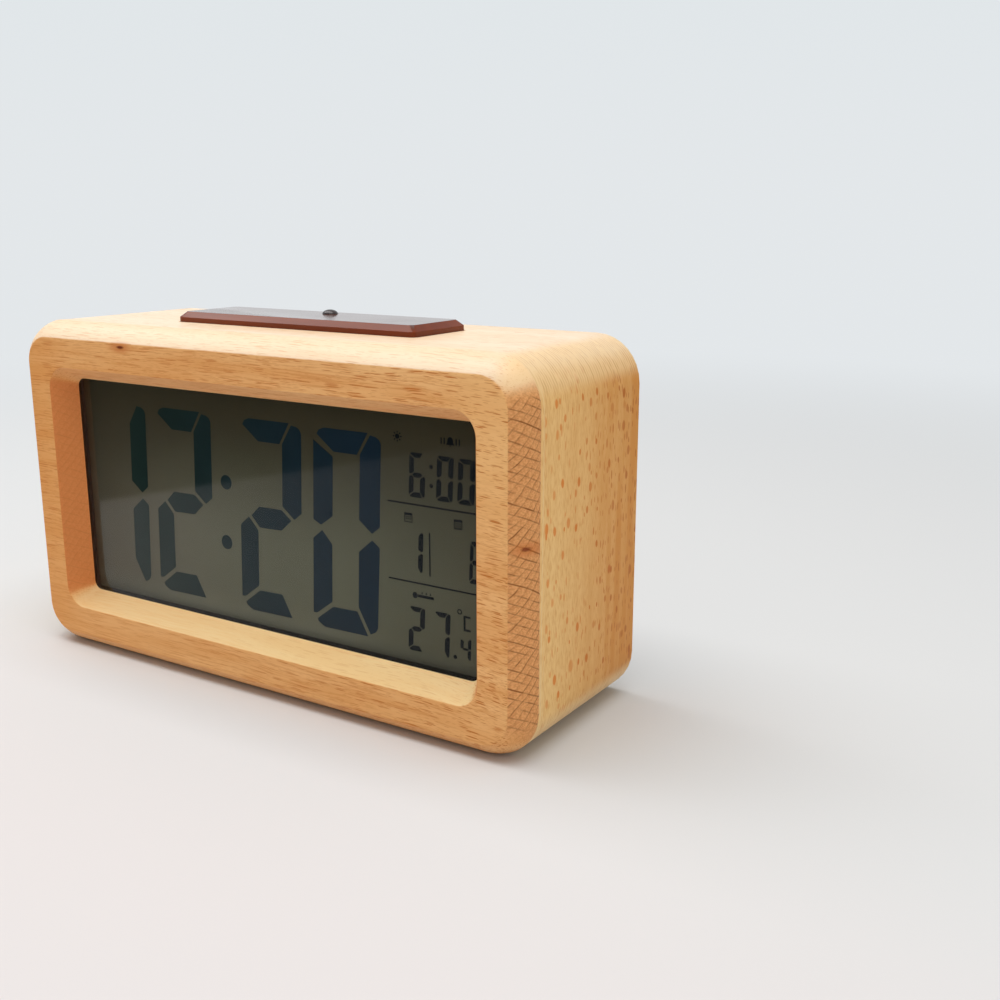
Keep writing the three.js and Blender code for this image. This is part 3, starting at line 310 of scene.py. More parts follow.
def beech_frame():
    """Face with its grain along X and end grain on the upright edges."""
    wood = new_finish("beech_frame")
    x, y, z = wood.place()
    across, _, upward = wood.facing()
    raised = wood.ramp(z, *UPPER_PART)
    # Painted sheen: upward faces of the upper part take paler, lit copies of the wood's colours
    painted_sheen = wood.ramp(upward, 0.12, 0.55) * raised
    sheen_turning = painted_sheen * wood.ramp(abs(across), 0.15, 0.6)
    # Painted light on the opening's upward sill; painted shade under downward faces
    lit_sill = wood.ramp(upward, 0.3, 0.8) * (1 - raised)
    ceiling = wood.ramp(0.0 - upward, 0.3, 0.8)
    leftward = 1 - 0.5 * wood.ramp(x, *LEFT_UPRIGHT) - 0.5 * wood.ramp(x, LEFT_UPRIGHT[1], 20.0)
    rightward = wood.ramp(x, -45.0, 55.0) * (1 - painted_sheen)
    upper_right = wood.ramp(x, RIGHT_UPRIGHT, 60.0) * wood.ramp(z, 34.0, 56.0) * (1 - painted_sheen)
    lower_left = (1 - wood.ramp(z, 6.0, 26.0)) * (1 - rightward)

    fall = 2.4 * wood.noise(wood.grain((40, 16, 10)), 1) + GRAIN_FALL * (x - RIGHT_UPRIGHT).most(0.0)
    deep, high = y + fall, z + fall
    figure = wood.noise(wood.cells((60, 7, 4.5), x, deep, high), 3)
    fibre = wood.noise(wood.cells((9, 0.32, 0.32), x, deep, high), 2)
    dashes = wood.flecks(wood.cells((5.4, 0.36, 0.36), x, deep, high), 0.2, 0.52, 0.85)
    fine = wood.flecks(wood.cells((1.9, 0.22, 0.22), x, deep, high), 0.2, 0.5, 0.8)

    pale = wood.mix(lit_sill, wood.mix(painted_sheen, BEECH_PALE, BEECH_SHEEN_PALE), SILL_LIT_PALE)
    rich = wood.mix(lit_sill, wood.mix(painted_sheen, BEECH_DEEP, BEECH_SHEEN_DEEP), SILL_LIT_DEEP)
    streak = wood.mix(painted_sheen + lit_sill, BEECH_STREAK, rich)
    dash = wood.mix(painted_sheen + lit_sill, BEECH_DASH, LIT_DASH)
    colour = wood.mix(wood.ramp(figure, 0.3, 0.7), pale, rich)
    colour = wood.mix(wood.ramp(fibre, 0.46, 0.66) * 0.5, colour, streak)
    colour = wood.mix(leftward * (1 - painted_sheen) * 0.5, colour, BEECH_WARM)
    colour = wood.mix(upper_right * 0.6, colour, BEECH_CLEAR)
    colour = wood.mix(sheen_turning * 0.8, colour, BEECH_BEND_SHEEN)
    colour = wood.mix(ceiling * 0.35, colour, BEECH_SHADED)
    shown = (1 - 0.4 * sheen_turning - 0.5 * lit_sill) * (1 - 0.6 * lower_left)
    colour = wood.mix(fine * shown * (0.30 + 0.15 * rightward), colour, dash)
    colour = wood.mix(dashes * shown * (0.50 + 0.35 * rightward), colour, dash)

    tilt = (across * across + upward * upward + 0.001).root()
    sideways = abs(across) / tilt
    end = wood.ramp(sideways, 0.80, 0.98) * wood.ramp(tilt, 0.3, 0.6)
    sawn, crossing = sawn_end(wood, wood.ramp(sideways, 0.93, 0.995))
    height = fibre * 0.35 - dashes * 0.25 - crossing * end * 0.4
    wood.surface({
        "Base Color": knotted(wood, wood.mix(end, colour, sawn)),
        "Roughness": 0.40 + 0.14 * fibre + 0.1 * dashes,
        "Specular IOR Level": WOOD_SHEEN,
        "Coat Weight": 0.02 + 0.2 * painted_sheen - 0.1 * sheen_turning,
        "Coat Roughness": WOOD_COAT_ROUGHNESS,
        "Normal": wood.bump(height, WOOD_RELIEF, WOOD_RELIEF_SHARE),
    })


def shell_board(wood):
    """Colour, strands and height of an upright side, paler beside the seam and warmer and darker to the
    rear, partly the wood's tone and partly painted shade as the light falls off rearwards.
    """
    x, y, z = wood.place()
    rearward = wood.ramp(y, *SHELL_DEPTH)
    beside_seam = 1 - wood.ramp(y, *SEAM_BAND)
    lowness = 1 - wood.ramp(z, 10.0, 60.0)
    sway = y + 1.6 * wood.noise(wood.grain((300, 9, 16)), 2)
    upright = wood.noise(wood.cells((300, 2.2, 34), x, sway, z), 2)
    strands = wood.noise(wood.cells((300, 0.24, 1.8), x, sway, z), 3)
    large = wood.flecks(wood.cells((7.0, 4.4), z, sway), 0.10, 0.23, 0.42, "2D")
    medium = wood.flecks(wood.cells((4.6, 2.6), z + 31.0, sway), 0.11, 0.26, 0.40, "2D")
    small_kept = 0.12 + 0.55 * rearward
    small = wood.flecks(wood.cells((3.2, 0.8), z + 57.0, sway), 0.14, 0.38, small_kept, "2D")
    marks = large.most(medium).most(small * 0.85) * (1 - beside_seam)
    sapwood = wood.lines(wood.cells((300, 1.1, 90), x, y, z), 0.12) * beside_seam

    warmth = wood.ramp(upright, 0.32, 0.68) * (0.10 + 0.2 * rearward)
    # Partly painted shade: the side grows warmer and darker towards the rear as the light falls off, partly
    # the wood's own tone
    warmth = warmth + rearward * (0.65 + 0.3 * lowness) + 0.12 * (1 - lowness)
    colour = wood.mix(warmth, SHELL_PALE, SHELL_WARM)
    colour = wood.mix(wood.ramp(strands, 0.45, 0.70) * 0.55, colour, SHELL_WARM)
    colour = wood.mix(marks, colour, wood.mix(rearward, SHELL_FLECK, SHELL_DARK))
    colour = wood.mix(sapwood * 0.45, colour, SAPWOOD)
    return colour, strands, strands * 0.35 - marks * 0.5


def beech_shell():
    """Top with its grain along X in the frame's pale colours of painted sheen, sides with upright flecks,
    corners with fine contours.
    """
    wood = new_finish("beech_shell")
    _, y, _ = wood.place()
    across, _, upward = wood.facing()
    side = wood.ramp(abs(across), 0.62, 0.95)
    corner = wood.ramp(abs(across), 0.12, 0.45) * wood.ramp(abs(upward), 0.12, 0.45)

    figure = wood.noise(wood.grain((60, 6, 6)), 3)
    fibre = wood.noise(wood.grain((12, 0.3, 0.3)), 2)
    dashes = wood.flecks(wood.grain((3.6, 0.4, 0.4)), 0.2, 0.52, 0.8)
    # Painted sheen: the top takes the frame's pale, lit copies of the wood's colours
    top = wood.mix(wood.ramp(figure, 0.3, 0.7), BEECH_SHEEN_PALE, BEECH_SHEEN_DEEP)
    top = wood.mix(wood.ramp(fibre, 0.45, 0.75) * 0.35, top, BEECH_SHEEN_DEEP)
    top = wood.mix(dashes * 0.65, top, LIT_DASH)

    contours = wood.ruled(y / 0.8 + 1.5 * wood.noise(wood.grain((9, 6, 7)), 1) + 60.0, 0.3)
    broken = wood.ramp(wood.noise(wood.grain((3.0, 0.6, 3.0)), 1), 0.35, 0.55)
    bent = wood.mix(contours * broken * 0.75, CONTOUR_PALE, CONTOUR_DARK)

    board, strands, board_height = shell_board(wood)
    height = (fibre * 0.35 - dashes * 0.6) * (1 - side) + board_height * side
    wood.surface({
        "Base Color": wood.mix(corner * 0.75, wood.mix(side, top, board), bent),
        "Roughness": 0.42 + 0.12 * fibre + 0.08 * strands,
        "Specular IOR Level": WOOD_SHEEN,
        "Coat Weight": 0.5 - 0.48 * side,
        "Coat Roughness": WOOD_COAT_ROUGHNESS,
        "Normal": wood.bump(height, WOOD_RELIEF, WOOD_RELIEF_SHARE),
    })


def moulded(name, light, dark, rough, grain, depth, coat=0.0):
    """Moulded plastic or rubber with a fine texture and slight clouding."""
    skin = new_finish(name)
    cloud = skin.noise(skin.grain((14, 14, 14)), 2)
    pebble = skin.noise(skin.grain((grain, grain, grain)), 2)
    skin.surface({
        "Base Color": skin.mix(skin.ramp(cloud * 0.6 + pebble * 0.4, 0.35, 0.65), light, dark),
        "Roughness": rough + 0.12 * pebble - 0.06,
        "Coat Weight": coat,
        "Normal": skin.bump(pebble, depth),
    })


def plated(name, light, dark, rough, streak):
    """Plated metal with drawn streaks along one direction and a little tarnish."""
    metal = new_finish(name)
    drawn = metal.noise(metal.grain(streak), 2)
    tarnish = metal.noise(metal.grain((3, 3, 3)), 3)
    metal.surface({
        "Base Color": metal.mix(metal.ramp(tarnish, 0.45, 0.8) * 0.5, light, dark),
        "Metallic": 1.0,
        "Roughness": rough + 0.16 * drawn + 0.1 * tarnish,
        "Normal": metal.bump(drawn, 0.01, 0.6),
    })


PLATE_LIGHT = (0.20, 0.036, 0.007)
PLATE_DARK = (0.16, 0.028, 0.006)
PLATE_TOP = (0.105, 0.024, 0.009)


def press_plate_gloss():
    """Brown gloss, darker on its flat top and with a clear coat only there."""
    gloss = new_finish("brown_gloss")
    flow = gloss.noise(gloss.grain((30, 6, 6)), 2)
    smear = gloss.noise(gloss.grain((9, 5, 9)), 3)
    _, _, upward = gloss.facing()
    edges = gloss.mix(gloss.ramp(flow, 0.3, 0.7), PLATE_LIGHT, PLATE_DARK)
    gloss.surface({
        "Base Color": gloss.mix(gloss.ramp(upward, 0.8, 0.95), edges, PLATE_TOP),
        "Roughness": 0.10 + 0.05 * gloss.ramp(smear, 0.45, 0.75),
        "Specular IOR Level": 0.20,
        "Coat Weight": 0.42 * gloss.ramp(upward, 0.85, 0.97),
        "Coat Roughness": 0.11,
        "Normal": gloss.bump(smear, 0.01, 0.04),
    })


def clear_lens():
    """Clear sheet: it lets light straight through and mirrors a little more at a slant."""
    lens = new_finish("lens")
    clear = lens.node("ShaderNodeBsdfTransparent", None, {"Color": (0.985, 0.99, 0.985, 1)})
    mirror = lens.node("ShaderNodeBsdfGlossy", None, {"Color": (1, 1, 1, 1), "Roughness": 0.03})
    film = lens.noise(lens.grain((26, 10, 18)), 3)
    slant = lens.node("ShaderNodeLayerWeight", None, {"Blend": 0.5}, "Facing")
    _, y, _ = lens.place()
    front = 1 - lens.ramp(y, LENS_FRONT + 0.3, LENS_FRONT + 0.6)
    share = (0.2 * slant * slant + 0.8 * slant.maths("POWER", slant, 5.0)) * front * (0.9 + 0.2 * film)
    lens.close(lens.node("ShaderNodeMixShader", None, {0: share, 1: clear, 2: mirror}))


# The display's glass: its upper part darkened by haze and painted shade, its grey lower part and its foot
# paler with painted light, and a painted shadow along its lower edge
GLASS_HAZE_SHADED = (0.046, 0.041, 0.025)
GLASS_WARM = (0.150, 0.140, 0.104)
GLASS_GREY = (0.138, 0.143, 0.101)
GLASS_FOOT_LIT = (0.182, 0.182, 0.132)
GLASS_EDGE_SHADOW = (0.012, 0.010, 0.006)
GLASS_SPECK = (0.09, 0.088, 0.06)
GLASS_FADE = (31.0, 66.0)
FOOT_HEIGHT = 7.0

# The display's ink: the large figures from left to right, and the small ones
INK_GREEN = (0.014, 0.030, 0.027)
INK_BLUE = (0.011, 0.025, 0.043)
INK_BLACK = (0.007, 0.010, 0.013)
INK_SPECK = (0.03, 0.035, 0.035)
SMALL_LEFT = 31.0


def display_glass():
    """Grey glass that darkens upwards, partly haze and partly painted shade from the frame's top bar, and
    darkens to both sides, paler towards its foot with painted light, with a painted shadow line along its
    lower edge.
    """
    glass = new_finish("lcd_glass")
    x, _, z = glass.place()
    cloud = glass.noise(glass.grain((45, 10, 30)), 2)
    speck = glass.noise(glass.grain((0.25, 0.25, 0.25)), 1)
    middle = (0.55 + 0.45 * glass.ramp(x, -56.0, -20.0)) * (1 - 0.3 * glass.ramp(x, 15.0, 45.0))
    # Partly the display's haze, partly painted shade from the frame's top bar: darker upwards; paler towards
    # the foot with painted light
    lit_lower = (1 - glass.ramp(z + 6 * cloud, *GLASS_FADE)) * middle
    foot = 1 - glass.ramp(z, OPENING_LOW, OPENING_LOW + FOOT_HEIGHT)
    foot = foot * (1 - 0.65 * glass.ramp(x, 5.0, 40.0))
    # Painted shadow: a dark line along the glass's lower edge, behind the sill
    clear_of_edge_shadow = glass.ramp(z, OPENING_LOW - 0.35, OPENING_LOW + 0.05)
    grey = glass.mix(glass.ramp(x, -50.0, 0.0), GLASS_WARM, GLASS_GREY)
    tint = glass.mix(lit_lower, GLASS_HAZE_SHADED, glass.mix(foot, grey, GLASS_FOOT_LIT))
    tint = glass.mix(clear_of_edge_shadow, GLASS_EDGE_SHADOW, tint)
    glass.surface({
        "Base Color": glass.mix(speck * 0.1, tint, GLASS_SPECK),
        "Roughness": 0.42 + 0.1 * speck,
        "Specular IOR Level": 0.0,
    })


def display_ink():
    """Dark segments, greener to the left and bluer to the right, and black where they are small."""
    ink = new_finish("display_ink")
    x, _, _ = ink.place()
    speck = ink.noise(ink.grain((0.3, 0.3, 0.3)), 1)
    tint = ink.mix(ink.ramp(x, -45.0, 40.0), INK_GREEN, INK_BLUE)
    tint = ink.mix(ink.ramp(x, SMALL_LEFT, SMALL_LEFT + 0.4), tint, INK_BLACK)
    ink.surface({
        "Base Color": ink.mix(speck * 0.06, tint, INK_SPECK),
        "Roughness": 0.45 + 0.1 * speck,
        "Specular IOR Level": 0.0,
    })


LACQUER = (0.012, 0.10, 0.04)
LACQUER_WEAVE = (0.02, 0.14, 0.06)
LACQUER_TRACK = (0.05, 0.24, 0.09)
SOLDER_PAD = (0.66, 0.60, 0.46)


def board_lacquer():
    """Green lacquer over copper tracks."""
    board = new_finish("circuit_board")
    cell = board.node(
        "ShaderNodeTexVoronoi",
        {"feature": "DISTANCE_TO_EDGE"},
        {"Vector": board.grain((4.5, 4.5, 4.5)), "Scale": 1.0},
    )
    track = 1 - board.ramp(cell, 0.05, 0.09)
    pads = board.flecks(board.grain((3, 3, 3)), 0.12, 0.2, 0.4)
    weave = board.noise(board.grain((0.5, 0.5, 0.5)), 1)
    colour = board.mix(weave * 0.4, LACQUER, LACQUER_WEAVE)
    colour = board.mix(track * 0.7, colour, LACQUER_TRACK)
    colour = board.mix(pads, colour, SOLDER_PAD)
    board.surface({
        "Base Color": colour,
        "Metallic": pads * 0.9,
        "Roughness": 0.32 + 0.1 * weave,
        "Normal": board.bump(track + pads, 0.03),
    })


def sleeve(name, light, dark):
    """Printed shrink sleeve of a cell."""
    film = new_finish(name)
    ripple = film.noise(film.grain((1.5, 6, 6)), 2)
    wear = film.noise(film.grain((5, 2, 2)), 3)
    film.surface({
        "Base Color": film.mix(film.ramp(wear, 0.4, 0.8), light, dark),
        "Roughness": 0.26 + 0.12 * ripple,
        "Normal": film.bump(ripple, 0.03, 0.5),
    })


beech_frame()
beech_shell()
press_plate_gloss()
clear_lens()
display_glass()
display_ink()
board_lacquer()
moulded("black_plastic", (0.022, 0.022, 0.024), (0.014, 0.014, 0.016), rough=0.5, grain=0.35, depth=0.02)
moulded("white_plastic", (0.78, 0.78, 0.75), (0.72, 0.72, 0.69), rough=0.4, grain=0.5, depth=0.01)
moulded("rubber", (0.026, 0.024, 0.020), (0.020, 0.018, 0.015), rough=0.75, grain=0.25, depth=0.02)
moulded("brown_plastic", (0.072, 0.030, 0.017), (0.056, 0.023, 0.013), rough=0.46, grain=0.28, depth=0.035)
moulded(
    "dark_lens", (0.030, 0.012, 0.009), (0.020, 0.008, 0.006),
    rough=0.28, grain=2.0, depth=0.004, coat=0.2,
)
moulded("red_insulation", (0.40, 0.025, 0.02), (0.32, 0.018, 0.015), rough=0.42, grain=0.6, depth=0.01)
moulded("grey_insulation", (0.46, 0.46, 0.47), (0.38, 0.38, 0.39), rough=0.45, grain=0.6, depth=0.01)
plated("steel", (0.60, 0.60, 0.61), (0.42, 0.40, 0.37), rough=0.24, streak=(0.6, 0.6, 0.6))
plated("nickel", (0.70, 0.69, 0.66), (0.52, 0.49, 0.44), rough=0.20, streak=(0.3, 4, 0.3))
sleeve("cell_sleeve", (0.020, 0.095, 0.21), (0.014, 0.070, 0.16))
sleeve("cell_band", (0.56, 0.58, 0.60), (0.48, 0.50, 0.52))

CREASE = 38.0  # degrees between two faces, from which their edge is sharp


def add_piece(mesh, name, body, slot, extra=(), crease=CREASE):
    """Makes a mesh a piece that rides on a body and takes a slot's finish."""
    for face in mesh.faces:
        face.smooth = True
    for edge in mesh.edges:
        sharp = len(edge.link_faces) == 2 and edge.calc_face_angle() > math.radians(crease)
        edge.smooth = not sharp
    data = bpy.data.meshes.new(name)
    mesh.to_mesh(data)
    mesh.free()
    for finish in (slot, *extra):
        data.materials.append(finishes[finish])
    piece = bpy.data.objects.new(name, data)
    bpy.context.scene.collection.objects.link(piece)
    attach(piece, body)
    return piece


def ease(piece, width, steps=2):
    """Rounds a piece's sharp edges a little."""
    bevel = piece.modifiers.new("eased_edges", "BEVEL")
    bevel.width = width * MM
    bevel.segments = steps
    bevel.limit_method = "ANGLE"
    bevel.angle_limit = math.radians(CREASE)
    bevel.harden_normals = True


def finished_copy(node, name, body, slot, width=0.0, steps=2):
    """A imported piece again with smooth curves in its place, its edges eased where a width is given."""
    mesh = bmesh.new()
    mesh.from_mesh(nodes[node].data)
    bmesh.ops.remove_doubles(mesh, verts=mesh.verts, dist=1e-6)
    if width:
        bmesh.ops.dissolve_limit(mesh, angle_limit=math.radians(0.5), verts=mesh.verts, edges=mesh.edges)
    piece = add_piece(mesh, name, body, slot)
    if width:
        ease(piece, width, steps)
    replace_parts(piece, node)


def add_marks(mesh, name, body, slot):
    """Makes a piece of flat marks, which are built facing either way."""
    bmesh.ops.recalc_face_normals(mesh, faces=mesh.faces)
    add_piece(mesh, name, body, slot)


def rounded_ring(mesh, width, height, corner, y, steps):
    """Edges of a rounded rectangle across the clock, at depth y."""
    old_edges, old_faces = set(mesh.edges), set(mesh.faces)
    half, low, high = width / 2, MIDDLE - height / 2, MIDDLE + height / 2
    spots = [(-half, y, low), (half, y, low), (half, y, high), (-half, y, high)]
    verts = [mesh.verts.new(Vector(spot) * MM) for spot in spots]
    mesh.faces.new(verts)
    bmesh.ops.bevel(
        mesh, geom=verts, offset=corner * MM, offset_type="OFFSET", affect="VERTICES",
        segments=steps, profile=0.5, material=-1,
    )
    bmesh.ops.delete(mesh, geom=[f for f in mesh.faces if f not in old_faces], context="FACES_ONLY")
    return [e for e in mesh.edges if e not in old_edges]


def wooden_frame():
    """Front frame: a crowned sloping edge, a flat face and a splayed opening, with eased creases."""
    mesh = bmesh.new()
    wide, tall = FRAME_HIGH.x - FRAME_LOW.x, FRAME_HIGH.z - FRAME_LOW.z
    front, seam = FRAME_LOW.y, FRAME_HIGH.y
    inset_most, crown, rim, eased = 3.5, 0.6, 0.5, 0.2
    corner, outer_corner, inner_corner = 9.7, 5.0, 2.0
    steps, slope_steps = 18, 10
    slope = seam - front - rim
    chord = math.hypot(slope, inset_most)
    rings = []
    for step in range(slope_steps + 1):
        along = step / slope_steps
        bulge = 4 * crown * along * (1 - along)
        inset = inset_most * (1 - along) - bulge * slope / chord
        depth = slope * along - bulge * inset_most / chord
        ring = (wide - 2 * inset, tall - 2 * inset, corner - inset, front + depth)
        rings.append(rounded_ring(mesh, *ring, steps))
    rings.append(rounded_ring(mesh, wide, tall, corner, seam, steps))
    for margin, turn, depth in (
        (FACE_MARGIN + OPENING_SPLAY, inner_corner, seam),
        (FACE_MARGIN, outer_corner, front),
    ):
        rings.append(rounded_ring(mesh, wide - 2 * margin, tall - 2 * margin, turn, depth, steps))
    for ring, following in zip(rings, rings[1:] + rings[:1]):
        bmesh.ops.bridge_loops(mesh, edges=ring + following)
    bmesh.ops.recalc_face_normals(mesh, faces=mesh.faces)
    bmesh.ops.bevel(
        mesh, geom=rings[0] + rings[-1], offset=eased * MM, offset_type="OFFSET", affect="EDGES",
        segments=2, profile=0.5, material=-1,
    )
    piece = add_piece(mesh, "front_frame_wood", "case", "beech_frame", crease=50)
    even = piece.modifiers.new("flat_faces", "WEIGHTED_NORMAL")
    even.keep_sharp = True
    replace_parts(piece, "front_frame")


def lift(mesh, faces, rise):
    """Gives flat faces a thickness along the vector rise."""
    lifted = bmesh.ops.extrude_face_region(mesh, geom=faces)["geom"]
    verts = [part for part in lifted if isinstance(part, bmesh.types.BMVert)]
    bmesh.ops.translate(mesh, vec=Vector(rise) * MM, verts=verts)


def raised_mark(mesh, points, rise):
    """A flat mark from its corner points, standing off by the vector rise."""
    lift(mesh, [mesh.faces.new([mesh.verts.new(Vector(point) * MM) for point in points])], rise)


INK = (0, -0.04, 0)  # how far the display's marks stand off
SLANT = 0.055  # lean of the figures
LIT = {
    "0": "abcdef", "1": "bc", "2": "abdeg", "4": "bcfg", "6": "acdefg", "7": "abc",
}
SEGMENTS = {  # corners as shares of a digit's width and height
    "a": [(0.05, 0.967), (0.08, 0.988), (0.155, 1.0), (0.795, 1.0), (0.645, 0.89), (0.305, 0.89)],
    "b": [(0.83, 0.99), (0.91, 0.985), (0.957, 0.974), (0.985, 0.955), (0.995, 0.557), (0.885, 0.521),
          (0.695, 0.578), (0.69, 0.893)],
    "c": [(0.89, 0.488), (1.0, 0.457), (1.0, 0.055), (0.97, 0.033), (0.895, 0.016), (0.71, 0.141),
          (0.70, 0.42)],
    "d": [(0.085, 0.037), (0.325, 0.114), (0.69, 0.118), (0.855, 0.004), (0.20, 0.0), (0.105, 0.022)],
    "e": [(0.145, 0.495), (0.30, 0.431), (0.31, 0.139), (0.078, 0.066), (0.02, 0.066), (0.01, 0.448)],
    "f": [(0.0, 0.936), (0.293, 0.865), (0.30, 0.573), (0.127, 0.521), (0.01, 0.543)],
    "g": [(0.19, 0.505), (0.315, 0.556), (0.68, 0.559), (0.835, 0.512), (0.68, 0.453), (0.328, 0.448)],
}


def digit(mesh, figure, left, low, width, height):
    """A digit on the display's glass, leaning a little."""
    for name in LIT[figure]:
        spots = [(left + x * width, low + z * height) for x, z in SEGMENTS[name]]
        raised_mark(mesh, [(x + SLANT * (z - MIDDLE), LCD_FRONT, z) for x, z in spots], INK)


def dot(mesh, x, z, radius, rise=INK, y=None, hole=0.0):
    """A round mark, or a ring where it has a hole."""
    y = LCD_FRONT if y is None else y
    turn = Matrix.Translation(Vector((x, y, z)) * MM) @ Matrix.Rotation(math.pi / 2, 4, "X")
    made = bmesh.ops.create_circle(mesh, cap_ends=True, radius=radius * MM, segments=24, matrix=turn)
    faces = list({f for v in made["verts"] for f in v.link_faces})
    if hole:
        ring = bmesh.ops.inset_region(
            mesh, faces=faces, thickness=(radius - hole) * MM, use_boundary=True, use_even_offset=True,
        )["faces"]
        bmesh.ops.delete(mesh, geom=[f for f in faces if f not in ring], context="FACES")
        faces = ring
    lift(mesh, faces, rise)


def bar_mark(mesh, x0, z0, x1, z1, y=None, rise=INK):
    """A rectangle between two corners."""
    y = LCD_FRONT if y is None else y
    raised_mark(mesh, [(x0, y, z0), (x1, y, z0), (x1, y, z1), (x0, y, z1)], rise)


def bell(mesh, x, z, size, y=None, rise=INK):
    """A small bell with its clapper."""
    y = LCD_FRONT if y is None else y
    spots = [(-0.5, -0.32), (0.5, -0.32), (0.36, -0.12), (0.30, 0.28), (0.12, 0.46), (-0.12, 0.46),
             (-0.30, 0.28), (-0.36, -0.12)]
    raised_mark(mesh, [(x + a * size, y, z + b * size) for a, b in spots], rise)
    dot(mesh, x, z - 0.43 * size, 0.09 * size, rise, y)


def calendar_page(mesh, x, z, size, rows):
    """A small page with a header and rows of day marks."""
    line = 0.09 * size
    bar_mark(mesh, x - 0.5 * size, z + 0.24 * size, x + 0.5 * size, z + 0.5 * size)
    bar_mark(mesh, x - 0.5 * size, z - 0.5 * size, x - 0.5 * size + line, z + 0.23 * size)
    bar_mark(mesh, x + 0.5 * size - line, z - 0.5 * size, x + 0.5 * size, z + 0.23 * size)
    bar_mark(mesh, x - 0.39 * size, z - 0.5 * size, x + 0.39 * size, z - 0.5 * size + line)
    for row in range(rows):
        for column in (-1, 0, 1):
            at, up = x + 0.24 * column * size, z + (0.08 - 0.22 * row) * size
            bar_mark(mesh, at - 0.07 * size, up - 0.07 * size, at + 0.07 * size, up + 0.07 * size)


def sun(mesh, x, z):
    """A disc with eight rays."""
    dot(mesh, x, z, 0.5)
    for step in range(8):
        turn = Matrix.Rotation(step * math.pi / 4, 2)
        corners = ((0.68, -0.11), (1.05, -0.11), (1.05, 0.11), (0.68, 0.11))
        spots = [turn @ Vector(corner) for corner in corners]
        raised_mark(mesh, [(x + spot.x, LCD_FRONT, z + spot.y) for spot in spots], INK)


def ringing_bell(mesh, x, z, size):
    """A bell with two strokes on each side."""
    bell(mesh, x, z, size)
    for offset in (-2.05, -1.35, 1.35, 2.05):
        bar_mark(mesh, x + offset - 0.12, z - 0.55, x + offset + 0.12, z + 0.65)


def thermometer(mesh, x, z):
    """A bulb, a tube to its right and three marks above the tube."""
    dot(mesh, x, z, 0.62)
    bar_mark(mesh, x + 0.7, z - 0.28, x + 4.5, z + 0.28)
    for along in (1.7, 2.7, 3.7):
        bar_mark(mesh, x + along - 0.1, z + 0.45, x + along + 0.1, z + 0.95)


# Marks on the display in millimetres
HOUR_FIGURES = (("1", -53.9), ("2", -33.7), ("2", -8.15), ("0", 12.2))  # figure and left edge
HOUR_LOW, HOUR_WIDTH, HOUR_HEIGHT = 15.8, 17.35, 42.2
COLON_MIDDLE, COLON_RADIUS = -12.2, 1.6
COLON_HEIGHTS = (43.4, 30.0)
SMALL_FIGURES = (  # figure, left edge, lower edge, width and height
    ("6", 36.2, 46.6, 3.85, 8.75),
    ("0", 42.65, 46.6, 3.85, 8.75),
    ("0", 47.5, 46.6, 3.85, 8.75),
    ("1", 36.3, 31.5, 3.8, 8.3),
    ("6", 50.9, 31.5, 2.6, 8.3),
    ("2", 37.2, 15.3, 3.9, 9.2),
    ("7", 43.3, 15.3, 3.8, 9.2),
    ("4", 49.6, 15.8, 2.5, 4.4),
)
SMALL_DOTS = ((42.15, 53.0), (42.15, 49.3), (47.3, 16.0))
SMALL_DOT_RADIUS = 0.42
RULES = ((31.6, 45.0, 53.2, 45.32), (31.5, 29.3, 53.2, 29.62), (41.4, 31.3, 41.72, 40.0))
UNIT_BARS = ((49.3, 21.7, 49.75, 24.8), (49.8, 24.38, 50.9, 24.8), (49.8, 21.7, 50.9, 22.12))


def display_marks():
    """The time in large figures, with small figures, rules and signs to its right."""
    large = bmesh.new()
    for figure, left in HOUR_FIGURES:
        digit(large, figure, left, HOUR_LOW, HOUR_WIDTH, HOUR_HEIGHT)
    for z in COLON_HEIGHTS:
        dot(large, COLON_MIDDLE + SLANT * (z - MIDDLE), z, COLON_RADIUS)
    add_marks(large, "display_hours", "case", "display_ink")

    small = bmesh.new()
    for row in SMALL_FIGURES:
        digit(small, *row)
    for x, z in SMALL_DOTS:
        dot(small, x, z, SMALL_DOT_RADIUS)
    add_marks(small, "display_small_figures", "case", "display_ink")

    signs = bmesh.new()
    for corners in RULES + UNIT_BARS:
        bar_mark(signs, *corners)
    dot(signs, x=48.4, z=25.4, radius=0.55, hole=0.33)
    sun(signs, x=34.3, z=58.1)
    ringing_bell(signs, x=46.6, z=58.25, size=1.9)
    calendar_page(signs, x=36.6, z=42.4, size=1.9, rows=2)
    calendar_page(signs, x=48.2, z=42.6, size=1.9, rows=3)
    thermometer(signs, x=37.9, z=26.9)
    add_marks(signs, "display_signs", "case", "display_ink")


def turned(mesh, profile, axis_point, axis, steps):
    """Spins a profile of points round an axis, closed."""
    verts = [mesh.verts.new(Vector(point) * MM) for point in profile]
    edges = [mesh.edges.new(pair) for pair in zip(verts, verts[1:])]
    bmesh.ops.spin(
        mesh, geom=verts + edges, cent=Vector(axis_point) * MM, axis=axis, angle=2 * math.pi,
        steps=steps, use_merge=True,
    )
    bmesh.ops.remove_doubles(mesh, verts=mesh.verts, dist=1e-7)
    bmesh.ops.recalc_face_normals(mesh, faces=mesh.faces)


DOME_RADIUS = 1.7
DOME_RISE = 0.95
FLANGE_THICKNESS = 0.4


